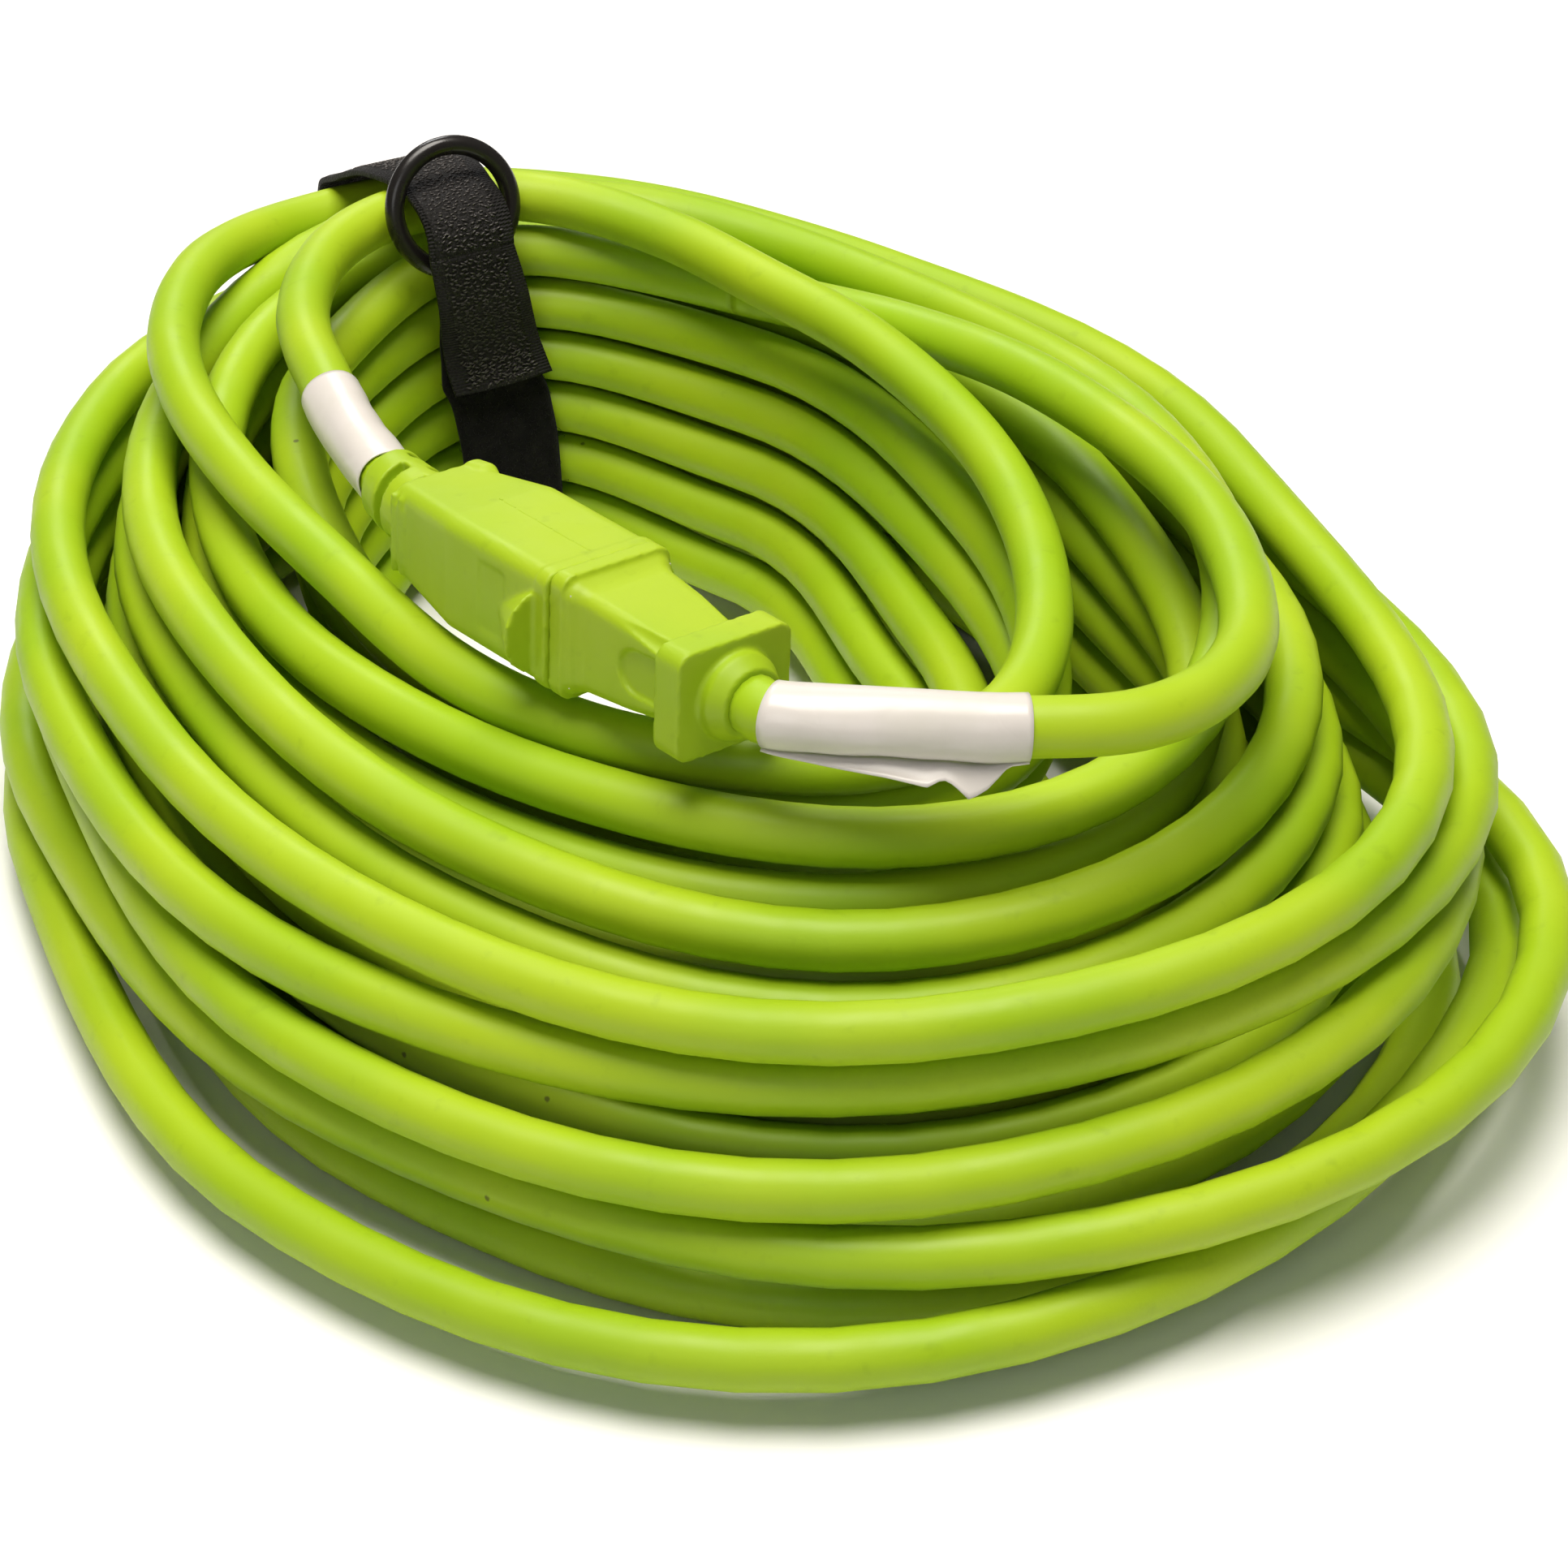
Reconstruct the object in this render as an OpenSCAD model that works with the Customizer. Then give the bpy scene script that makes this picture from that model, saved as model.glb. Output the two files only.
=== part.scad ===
// Coiled three-wire extension cord, plugged into itself and held by a strap.
// Millimetres. +Z is up, the floor is Z = 0 and the strap end lies towards +Y.

/* [Cord] */
// Outside diameter of the round cord jacket
cord_d = 9; // [8.4:0.1:9.2]
// Diameter over the insulation of one conductor
wire_d = 2.9; // [2.4:0.1:3.1]

/* [Wound bundle] */
// Width of the innermost turn, between cord centres
loop_w = 112; // [106:1:116]
// Length of the innermost turn, between cord centres
loop_l = 176; // [168:1:182]
// Number of turns in the bundle
turns = 23; // [22:0.05:23.05]
// Height climbed by the bundle where it passes over the strap
strap_lift = 3.6; // [3.4:0.1:4.4]

/* [Plug] */
// Width of the plug's face plate
face_w = 21.6; // [21.2:0.2:24]
// Height of the plug's face plate
face_h = 20; // [18.8:0.2:21]
// Thickness of the plug's face plate
face_t = 3; // [2.4:0.1:4]
// Length of the tapered body between the face plate and the rear flange
plug_body_l = 21.5; // [19:0.5:24]
// Width of the rear flange
rear_w = 20.8; // [20:0.2:23]
// Height of the rear flange
rear_h = 17.2; // [16.4:0.2:18]
// Thickness of the rear flange
rear_t = 5.4; // [4.6:0.1:6.6]
// Diameter of the round collar at the cord entry
collar_d = 13.4; // [12.4:0.2:14.4]
// Length of the round collar
collar_l = 4; // [3.6:0.2:5]
// Corner radius of the plates
plate_r = 2.5; // [1.5:0.1:3]

/* [Contacts] */
// Length of the flat blades beyond the plug's face
blade_l = 15.9; // [15:0.1:17]
// Width of the flat blades
blade_w = 6.35; // [6:0.05:6.5]
// Thickness of the flat blades
blade_t = 1.5; // [1.4:0.05:1.6]
// Distance between the middles of the two flat blades
blade_gap = 12.7; // [12.5:0.1:12.9]
// Diameter of the round earth pin
pin_d = 4.75; // [4.6:0.05:4.9]
// Length of the earth pin beyond the plug's face
pin_l = 17.5; // [16.5:0.1:18]
// Distance from the blades' row to the earth pin
pin_off = 11.9; // [11.7:0.05:12]
// Thickness of the contact springs' metal
spring_t = 0.4; // [0.3:0.05:0.45]
// Running clearance between a blade or pin and its contact
contact_fit = 0.05; // [0.02:0.01:0.08]

/* [Connector] */
// Width of the connector's body
conn_w = 21; // [20.8:0.2:22]
// Height of the connector's body
conn_h = 18.6; // [18:0.2:19.4]
// Length of the straight body
conn_l = 24.5; // [22:0.5:27]
// Length of the tapered neck
neck_l = 17; // [13:0.5:19]
// Width and height of the neck's narrow end
neck_w = 15; // [14:0.2:16]
// Length of the ribbed strain relief
relief_l = 17; // [15:0.5:20]
// Diameter of the strain relief at the neck
relief_d1 = 13.4; // [12.6:0.2:14]
// Diameter of the strain relief at the cord
relief_d2 = 11.6; // [11:0.2:12.4]
// Radius of the half-round grip lugs
lug_r = 7; // [6:0.2:7.6]
// How far the lugs stand out from the body's sides
lug_out = 5; // [4:0.2:5.6]

/* [Strap and ring] */
// Width of the hook-and-loop strap
strap_w = 18.4; // [17:0.2:19]
// Width of the strap where it is drawn through the ring
strap_waist = 15.4; // [14.6:0.2:15.6]
// Thickness of the fuzzy loop tape
loop_tape_t = 1.2; // [1:0.05:1.3]
// Thickness of the woven hook tape
hook_tape_t = 1.4; // [1.1:0.05:1.5]
// Length of the free tab inside the ring
tab_l = 28; // [24:1:34]
// Inside diameter of the hanging ring
ring_id = 18.2; // [18:0.1:19]
// Diameter of the ring's bar
ring_bar = 3.4; // [3:0.1:3.5]
// Lean of the ring from upright
ring_lean = 18; // [17:0.5:19]

/* [Labels] */
// Thickness of the paper label sleeves
label_t = 0.35; // [0.25:0.05:0.5]

/* [Hidden] */
$fn = 48;
eps = 0.01;
cord_colour = [0.62, 0.76, 0.16];
plug_colour = [0.66, 0.78, 0.2];

// ---- where things stand -------------------------------------------------
// Brings the middle of the whole outline to the origin.
place = [0.87, -5.58, 0];
// Middle of the winding's inner oval.
oval_c = [6, 21];
// Keeps a place beside the winding when the inner turn changes size.
function laid(p) = [oval_c[0] + (p[0] - oval_c[0])*loop_w/112,
    oval_c[1] + (p[1] - oval_c[1])*loop_l/176, p[2]];
// Direction of the strap, and of the bundle's tightest place.
strap_at = 88;
tight_at = 78;
// Where the bundle climbs over the strap.
lift_at = 80;
// Where the first turn starts, counter-clockwise from +X.
start_at = 45;
// Rows climbed or descended by each of the four layers.
rows = 5.5;
// The mated pair: middle of the seam between plug and connector.
seam = laid([-34.2, -32.6, 78.9]);
pair_yaw = -79.5;
pair_pitch = 3.2;
pair_roll = -5.8;

// ---- the winding --------------------------------------------------------
// Values at eight places, every 45 degrees counter-clockwise from tight_at.
// Gap between layers.
layer_gap = [0.4, 1.6, 2.2, 2.7, 3.2, 5.8, 4.4, 0.8];
// Gap between rows.
row_gap = [1.2, 0.9, 0.9, 1.1, 1, 1, 1, 1.1];
// Lean of the stack, outward on the way down.
lean = [0, 0.15, 0.25, 0.4, 0.45, 0.4, -0.08, -0.08];
// Lean of the innermost layer, inward on the way down.
inlean = [0.03, 0.1, 0.22, 0.3, 0.3, 0.42, 0.5, 0.25];
// Wander of the outer layer.
wander = [0, 3.2, 4.8, 6, 6.2, 10.6, 5.2, 0];
// Rise and fall of the rows.
heave = [0, 2.3, 2.6, 1, 1.6, 2.3, 2.1, 1.2];
// Strands that bulge outward: [turn, half length in turns, reach].
bulges = [[18.55, 0.16, 9.5], [19.7, 0.2, 5.8], [20.75, 0.3, 3.8]];
// The lowest strand's middle over the floor, a tenth of the cord cut flat.
base_z = cord_d*sqrt(3)/4 - cord_d/10;
// Extra height where the second layer crosses to the third.
hop = 3.5;

function clip(x) = min(1, max(0, x));
function wrap(a) = ((a + 180) % 360 + 360) % 360 - 180;
function unit(v) = v/norm(v);
function around(v, a) =
    let (q = (((a - tight_at)/45) % 8 + 8) % 8, k = floor(q), w = (1 - cos(180*(q - k)))/2)
    v[k % 8]*(1 - w) + v[(k + 1) % 8]*w;
function bulge(u, k = 0) = k >= len(bulges) ? 0 :
    bulges[k][2]*(1 + cos(180*min(1, abs(u - bulges[k][0])/bulges[k][1])))/2 + bulge(u, k + 1);
// Inner oval: point and outward normal at angle a.
function oval(a) = [oval_c[0] + loop_w/2*cos(a), oval_c[1] + loop_l/2*sin(a)];
function oval_out(a) = unit([loop_l/2*cos(a), loop_w/2*sin(a)]);
// Middle of the cord after u turns. Four layers lie one outside the other,
// the first going down, the next up, and each change takes half a turn.
function coil_at(u) =
    let (a = start_at + 360*u,
         per = rows + 0.5,
         k = min(floor(u/per), 3),
         w = u - k*per,
         run = min(w, rows),
         j = k % 2 == 0 ? rows - run : run,
         t = clip((w - rows)/0.5),
         i = k + t,
         step = cord_d + around(layer_gap, a),
         rise = cord_d + around(row_gap, a),
         out = around(wander, a),
         sway = (1 + sin(137.5*j + 2*a))/2,
         first = clip(1 - i),
         rho = i*step + (around(lean, a)*(1 - first) - around(inlean, a)*first)*(rows - j)*rise
               + clip(i - 2)*out*sway - first*0.5*out*(1 - sway) + bulge(u),
         near = (1 + cos(180*min(1, abs(wrap(a - lift_at))/45)))/2,
         z = base_z + strap_lift*near + j*rise + (k == 1 ? hop*sin(180*t) : 0)
             + around(heave, a)*sin(120*i + 3*a)*j/rows,
         p = oval(a) + rho*oval_out(a))
    [p[0], p[1], z];
coil_n = 24;
coil_rings = [for (k = [0 : round(turns*coil_n)]) coil_at(k/coil_n)];
coil_last = len(coil_rings) - 1;
coil_a = coil_rings[0];
coil_b = coil_rings[coil_last];
coil_ta = unit(coil_at(0.002) - coil_a);
coil_tb = unit(coil_b - coil_at(coil_last/coil_n - 0.002));
// The two ends run straight for one diameter.
end_a = coil_a - coil_ta*cord_d;
end_b = coil_b + coil_tb*cord_d;

// ---- tubes along points -------------------------------------------------
function tangent(p, i, t0, t1) = i == 0 ? t0 : i == len(p) - 1 ? t1 : unit(p[i + 1] - p[i - 1]);
function ring_pts(c, t, r, n, turn, low) =
    let (s = unit(cross(t, [0, 0, 1])), v = cross(s, t))
    [for (k = [0 : n - 1])
        let (q = c + r*cos(360*k/n + turn)*s + r*sin(360*k/n + turn)*v)
        [q[0], q[1], max(q[2], low)]];
function skin(m, n, o = 0) = [for (i = [0 : m - 2], k = [0 : n - 1]) each
    let (a = o + i*n + k, b = o + i*n + (k + 1) % n) [[a, b, a + n], [b, b + n, a + n]]];
// Solid tube along points p with end directions t0 and t1.
module tube(p, d, n, t0, t1, turn = 0, low = -1000) {
    m = len(p);
    polyhedron([for (i = [0 : m - 1]) each ring_pts(p[i], tangent(p, i, t0, t1), d/2, n, turn, low)],
        concat(skin(m, n),
            [for (k = [1 : n - 2]) [0, k + 1, k]],
            [for (k = [1 : n - 2]) let (o = (m - 1)*n) [o, o + k, o + k + 1]]));
}
// Thin sleeve of wall w around the same tube, from ring i0 to ring i1.
module sleeve(p, d, n, t0, t1, turn, i0, i1, play, w) {
    m = i1 - i0 + 1;
    o = m*n;
    polyhedron(concat(
            [for (i = [i0 : i1]) each ring_pts(p[i], tangent(p, i, t0, t1), d/2 + play + w, n, turn, -1000)],
            [for (i = [i0 : i1]) each ring_pts(p[i], tangent(p, i, t0, t1), d/2 + play, n, turn, -1000)]),
        concat(skin(m, n),
            [for (f = skin(m, n, o)) [f[0], f[2], f[1]]],
            [for (k = [0 : n - 1]) each let (l = (k + 1) % n) [[k, o + k, l], [l, o + k, o + l]]],
            [for (k = [0 : n - 1]) each let (l = (k + 1) % n, b = o - n)
                [[b + k, b + l, o + b + k], [b + l, o + b + l, o + b + k]]]));
}
// Smooth curve through points, s steps per span.
function curve(p, s) =
    let (n = len(p), q = concat([2*p[0] - p[1]], p, [2*p[n - 1] - p[n - 2]]))
    concat([for (k = [1 : n - 1], i = [0 : s - 1])
        let (t = i/s, a = q[k - 1], b = q[k], c = q[k + 1], d = q[k + 2])
        0.5*(2*b + (c - a)*t + (2*a - 5*b + 4*c - d)*t*t + (3*b - a - 3*c + d)*t*t*t)], [p[n - 1]]);

// ---- the mated pair's place ---------------------------------------------
pair_dir = [cos(pair_yaw)*cos(pair_pitch), sin(pair_yaw)*cos(pair_pitch), sin(pair_pitch)];
plug_l = face_t + plug_body_l + rear_t + collar_l;
conn_full = conn_l + neck_l + relief_l;
plug_end = seam + pair_dir*plug_l;
conn_end = seam - pair_dir*conn_full;
// Local frame of the pair: +X from connector to plug, seam at X = 0,
// the blades' row towards +Y.
module at_pair() translate(seam) rotate([0, 0, pair_yaw]) rotate([0, -pair_pitch, 0])
    rotate([pair_roll, 0, 0]) children();

// ---- the free leads -----------------------------------------------------
lead_n = 8;
plug_route = concat(
    [plug_end, plug_end + 4*pair_dir],
    [for (p = [[-21.4, -74.4, 80.9], [-12, -80.8, 80.8], [1, -89, 80.6], [17, -94.5, 79.5], [33, -91, 77.5],
     [47, -80, 75.5], [58, -62, 74.5], [65, -42, 73.5], [69, -15, 71], [68, 15, 68.5], [62.5, 45, 64]]) laid(p)],
    [coil_a - 2*cord_d*coil_ta, end_a]);
conn_route = concat(
    [end_b, coil_b + 2*cord_d*coil_tb],
    [for (p = [[46, 124, 57.5], [22, 136.5, 59.4], [-7, 137, 60.6], [-30, 123, 65.1], [-45, 103, 66.4],
     [-53, 80, 66.5], [-55, 53, 65], [-53.5, 20, 64.5], [-50, -12, 63.5], [-40.5, -34.5, 62.6],
     [-26.5, -51.5, 62.5], [-10, -63, 62.5], [8, -65, 62.5], [23, -58, 62], [37, -42, 62],
     [49, -18, 62], [55, 8, 63.5], [53.5, 38, 66.5], [47, 64, 68], [40.5, 83.5, 69.5], [30.5, 99.5, 71],
     [19.4, 110.2, 71.2], [8, 112.2, 71.2], [-3.6, 111, 71.3], [-14, 105, 71.6], [-22.6, 95.2, 72.4],
     [-29.8, 83, 73.4], [-34.2, 71, 74.2], [-37, 59, 74.8], [-39.8, 47.5, 75.2], [-43, 37, 75.5]]) laid(p)],
    [conn_end - 4*pair_dir, conn_end]);
conn_curve = curve(conn_route, 2);

// ---- the strap's place --------------------------------------------------
strap_o = oval(strap_at);
strap_n = oval_out(strap_at);
strap_yaw = atan2(strap_n[1], strap_n[0]);
// Local frame of the strap: +X outward through the bundle's section.
module at_strap() translate([strap_o[0], strap_o[1], 0]) rotate([0, 0, strap_yaw]) children();
fit = 0.3;
eye_fit = 0.45;
// Faces of the bundle's section at the strap.
pack_in = -cord_d/2 - 1.8;
pack_out = 3*(cord_d + around(layer_gap, strap_at)) + cord_d/2 + 1.8;
in_x = pack_in - 0.45 - loop_tape_t/2;
out_x = pack_out + 0.4 + loop_tape_t/2;
floor_z = 0.8 + loop_tape_t/2;
fold_x = in_x - loop_tape_t;
hook_x = out_x + loop_tape_t/2 + hook_tape_t/2;
// The ring's lower bar lies in the folded end of the loop tape.
bar_r = ring_bar/2;
ring_r = ring_id/2 + bar_r;
eye_w = 8;
eye_rise = ring_r - sqrt(ring_r*ring_r - eye_w*eye_w/4);
bar_x = in_x - loop_tape_t/2 - eye_fit - bar_r;
bar_z = 64.9;
eye_x = bar_x - bar_r - eye_fit - loop_tape_t/2;
// The tab hangs from the fold over the ring's bar.
tab_x = eye_x - loop_tape_t/2 - fit - hook_tape_t/2;
tab_z = 70;

// Outline of a band of thickness t along points.
function band_side(p, t) = [for (i = [0 : len(p) - 1])
    let (a = p[max(0, i - 1)], b = p[min(len(p) - 1, i + 1)], v = unit(b - a))
    p[i] + t*[-v[1], v[0]]];
function band(p, t) = concat(band_side(p, t/2),
    [for (i = [len(p) - 1 : -1 : 0]) band_side(p, -t/2)[i]]);
// A band of width w, standing across the strap's section.
module strip(p, t, w) rotate([90, 0, 0]) linear_extrude(height = w, center = true)
    polygon(band(p, t));

// A band along p of width w, pushed sideways by off at each of its points.
module ribbon(p, off, t, w) {
    m = len(p);
    a = band_side(p, t/2);
    b = band_side(p, -t/2);
    polyhedron([for (i = [0 : m - 1]) each [[a[i][0], off[i] - w/2, a[i][1]], [a[i][0], off[i] + w/2, a[i][1]],
            [b[i][0], off[i] + w/2, b[i][1]], [b[i][0], off[i] - w/2, b[i][1]]]],
        concat(skin(m, 4), [[0, 2, 1], [0, 3, 2]],
            [[4*m - 4, 4*m - 3, 4*m - 2], [4*m - 4, 4*m - 2, 4*m - 1]]));
}

// ---- shared shapes ------------------------------------------------------
// Rounded rectangle, w along Y and h along Z, from x0 with length l.
module plate(x0, l, w, h, r) translate([x0, 0, 0]) rotate([90, 0, 90]) linear_extrude(height = l) {
    square([w - 2*r, h], center = true);
    square([w, h - 2*r], center = true);
    for (y = [-1, 1], z = [-1, 1]) translate([y*(w/2 - r), z*(h/2 - r)]) circle(r, $fn = 32);
}
module loft(x0, w0, h0, x1, w1, h1, r) hull() {
    plate(x0, eps, w0, h0, r);
    plate(x1 - eps, eps, w1, h1, r);
}
module along_x(x0, x1, d0, d1) translate([x0, 0, 0]) rotate([0, 90, 0])
    cylinder(h = x1 - x0, d1 = d0, d2 = d1);
module block(x0, x1, y, z, w, h) translate([x0, y - w/2, z - h/2]) cube([x1 - x0, w, h]);

// ---- plug ---------------------------------------------------------------
blade_y = 5.2;
pin_y = blade_y - pin_off;
blade_z = blade_gap/2;
bridge_l = face_t + 1;
bridge_w = face_w - 3.2;
bridge_h = blade_gap + blade_t + 0.8;
step_l = 1.2;
body_x0 = face_t + step_l;
body_x1 = face_t + plug_body_l;
body_w0 = face_w - 3;
body_h0 = face_h - 2.4;
body_w1 = rear_w - 6.4;
body_h1 = rear_h - 4.6;
taper_y = atan((body_w0 - body_w1)/2/(body_x1 - body_x0));
wire_ring = wire_d*0.62;
function wire_start(k) = k == 0 ? [blade_y, blade_z - 0.75] : k == 1 ? [blade_y, 0.75 - blade_z] : [pin_y, 0];
function wire_stop(k) = wire_ring*(k == 0 ? [cos(60), sin(60)] : k == 1 ? [cos(60), -sin(60)] : [-1, 0]);
// One conductor from x0 to x1, its ends flush with both planes.
module wire(x0, x1, k) {
    a = [x0, wire_start(k)[0], wire_start(k)[1]];
    b = [x1, wire_stop(k)[0], wire_stop(k)[1]];
    v = b - a;
    intersection() {
        translate(a - unit(v)*2) rotate([0, acos(v[2]/norm(v)), atan2(v[1], v[0])])
            cylinder(h = norm(v) + 4, d = wire_d);
        block(min(x0, x1), max(x0, x1), 0, 0, 40, 40);
    }
}
plug_wire_x1 = plug_l - 1.5;

module plug_overmould() color(plug_colour) at_pair() difference() {
    union() {
        plate(0, face_t, face_w, face_h, plate_r);
        plate(face_t - eps, step_l + 2*eps, face_w - 2, face_h - 1.4, plate_r);
        loft(body_x0, body_w0, body_h0, body_x1 + eps, body_w1, body_h1, plate_r);
        plate(body_x1, rear_t, rear_w, rear_h, plate_r);
        along_x(body_x1 + rear_t - eps, plug_l - collar_l*0.6, collar_d, collar_d);
        along_x(plug_l - collar_l*0.6 - eps, plug_l, collar_d, cord_d + 1.6);
    }
    // thumb recess on both sides, open towards the rear flange
    for (s = [-1, 1]) translate([body_x1 - 8, s*(body_w1/2 + 8*tan(taper_y) - 0.8), 0])
        rotate([0, 0, -s*taper_y]) rotate([-s*90, 0, 0]) {
            cylinder(h = 4, d = 7);
            translate([0, -3.5, 0]) cube([7.6, 7, 4]);
        }
    // scooped finger grips along the four long edges
    for (y = [-1, 1], z = [-1, 1]) hull() {
        translate([body_x1 - 1.8, y*(body_w1/2 + 0.4), z*(body_h1/2 + 0.8)]) sphere(2, $fn = 24);
        translate([body_x0 + 5.5, y*(body_w0/2 - 0.2), z*(body_h0/2 + 0.3)]) sphere(0.9, $fn = 16);
    }
    block(-1, bridge_l, 0, 0, bridge_w, bridge_h);
    for (k = [0 : 2]) wire(bridge_l, plug_wire_x1, k);
}

module plug_bridge() color("white") at_pair() difference() {
    block(0, bridge_l, 0, 0, bridge_w, bridge_h);
    for (s = [-1, 1]) block(-1, bridge_l + 1, blade_y, s*blade_z, blade_w, blade_t);
    translate([0, pin_y, 0]) along_x(-1, bridge_l + 1, pin_d, pin_d);
}

module blade(s) color("goldenrod") at_pair() difference() {
    intersection() {
        block(-blade_l, bridge_l, blade_y, s*blade_z, blade_w, blade_t);
        // tip chamfers
        translate([-blade_l, blade_y, 0]) linear_extrude(height = 60, center = true)
            polygon([[0, -blade_w/2 + 1.2], [1.2, -blade_w/2], [40, -blade_w/2],
                [40, blade_w/2], [1.2, blade_w/2], [0, blade_w/2 - 1.2]]);
    }
    translate([-11.7, blade_y, s*blade_z]) cylinder(h = 4, d = 3.2, center = true);
}
module plug_line_blade() blade(1);
module plug_neutral_blade() blade(-1);
module plug_ground_pin() color("goldenrod") at_pair() translate([0, pin_y, 0]) {
    along_x(-pin_l + pin_d/2, bridge_l, pin_d, pin_d);
    translate([-pin_l + pin_d/2, 0, 0]) sphere(d = pin_d);
}
module plug_line_wire() color("black") at_pair() wire(bridge_l, plug_wire_x1, 0);
module plug_neutral_wire() color("white") at_pair() wire(bridge_l, plug_wire_x1, 1);
module plug_ground_wire() color("green") at_pair() wire(bridge_l, plug_wire_x1, 2);

// ---- connector ----------------------------------------------------------
case_t = 2;
block_l = max(pin_l, blade_l) + case_t;
block_x = -case_t - block_l;
block_y0 = pin_y - pin_d/2 - 0.5;
block_y1 = blade_y + blade_w/2 + 0.6;
block_w = block_y1 - block_y0;
block_h = blade_gap + blade_t + 2*(contact_fit + spring_t) + 0.9;
spring_h = blade_t + 2*(contact_fit + spring_t);
spring_w = blade_w - 0.85;
slot_fit = 0.15;
conn_wire_x1 = -conn_full + 2;
relief_x0 = -conn_full;
relief_x1 = -conn_l - neck_l;
mouth_fit = 0.05;

module conn_wire(k) wire(block_x, conn_wire_x1, k);

module connector_overmould() color(plug_colour) at_pair() difference() {
    union() {
        plate(-conn_l, conn_l - mouth_fit, conn_w, conn_h, plate_r);
        // narrow raised rim round the mouth
        plate(-2.6, 2.6 - mouth_fit, conn_w + 0.6, conn_h + 0.5, plate_r);
        loft(relief_x1, neck_w, neck_w, -conn_l + eps, conn_w, conn_h, plate_r);
        along_x(relief_x0, relief_x1 + 2, relief_d2, relief_d1);
        // ramped half-round lugs
        for (s = [-1, 1]) translate([0, s*(conn_w/2 + lug_out - lug_r), -0.6])
            along_x(-11.5, -2.6, lug_r*0.5, 2*lug_r);
        // two ribs down each side of the neck's narrow end
        for (s = [-1, 1], k = [0, 1]) translate([relief_x1 + 1 + 1.9*k, s*(neck_w/2 + 0.15 + 0.25*k), 0])
            translate([0, -0.6, -4.6]) cube([0.9, 1.2, 9.2]);
    }
    // bending slots of the strain relief, alternately from the sides and from above and below
    for (k = [0 : 3]) translate([relief_x0 + 1.9 + 3.7*k, 0, 0]) rotate([90*(k % 2), 0, 0])
        for (s = [-1, 1]) translate([0, -10, s > 0 ? cord_d/2 + 0.4 : -10 - cord_d/2 - 0.4])
            cube([1.5, 20, 10]);
    // shallow bare nameplate recess
    block(-16.5, -10, -conn_w/2, 0, 0.6, 11.5);
    block(block_x, -case_t, (block_y0 + block_y1)/2, 0, block_w, block_h);
    for (s = [-1, 1]) block(-case_t - 1, 1, blade_y, s*blade_z, blade_w + 2*slot_fit, blade_t + 2*slot_fit);
    translate([0, pin_y, 0]) along_x(-case_t - 1, 1, pin_d + 2*slot_fit, pin_d + 2*slot_fit);
    for (k = [0 : 2]) conn_wire(k);
}

module connector_contact_block() color("dimgray") at_pair() difference() {
    block(block_x, -case_t, (block_y0 + block_y1)/2, 0, block_w, block_h);
    for (s = [-1, 1]) block(block_x - 1, -case_t + 1, blade_y, s*blade_z, blade_w + 2*slot_fit, spring_h);
    translate([0, pin_y, 0]) along_x(block_x - 1, -case_t + 1, pin_d + 2*(contact_fit + spring_t),
        pin_d + 2*(contact_fit + spring_t));
}

module contact(s) color("goldenrod") at_pair() difference() {
    block(block_x, -case_t - 0.4, blade_y, s*blade_z, spring_w, spring_h);
    block(block_x + 0.8, 0, blade_y, s*blade_z, spring_w + 2, blade_t + 2*contact_fit);
}
module connector_line_contact() contact(1);
module connector_neutral_contact() contact(-1);
module connector_ground_contact() color("goldenrod") at_pair() translate([0, pin_y, 0]) difference() {
    along_x(block_x, -case_t - 0.4, pin_d + 2*(contact_fit + spring_t), pin_d + 2*(contact_fit + spring_t));
    along_x(block_x + 0.8, 0, pin_d + 2*contact_fit, pin_d + 2*contact_fit);
}
module connector_line_wire() color("black") at_pair() conn_wire(0);
module connector_neutral_wire() color("white") at_pair() conn_wire(1);
module connector_ground_wire() color("green") at_pair() conn_wire(2);

// ---- cord ---------------------------------------------------------------
// Least distance between the middles of neighbouring turns, less the cord.
function least(p, lo, m) = min([for (i = [0 : 2 : len(p) - 1], k = [i + lo : 1 : min(len(p) - 1, i + m)])
    norm(p[i] - p[k])]);
module cord_coil() color(cord_colour) {
    echo(least_gap_of_the_coil = least(coil_rings, coil_n - 3, len(coil_rings)) - cord_d);
    tube(concat([end_a], coil_rings, [end_b]), cord_d, 6, coil_ta, coil_tb, 0, 0);
}
module plug_lead() color(cord_colour)
    tube(plug_route, cord_d, lead_n, pair_dir, coil_ta, 22.5);
module connector_lead() color(cord_colour)
    tube(conn_curve, cord_d, lead_n, coil_tb, pair_dir, 22.5);

// ---- labels -------------------------------------------------------------
label_play = 0.05;
module plug_label() color("white")
    sleeve(plug_route, cord_d, lead_n, pair_dir, coil_ta, 22.5, 1, 4, label_play, label_t);
conn_label_i = len(conn_curve) - 9;
module connector_label() color("white")
    sleeve(conn_curve, cord_d, lead_n, coil_tb, pair_dir, 22.5, conn_label_i, conn_label_i + 5,
        label_play, label_t);

// ---- strap --------------------------------------------------------------
eye_t = loop_tape_t;
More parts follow.
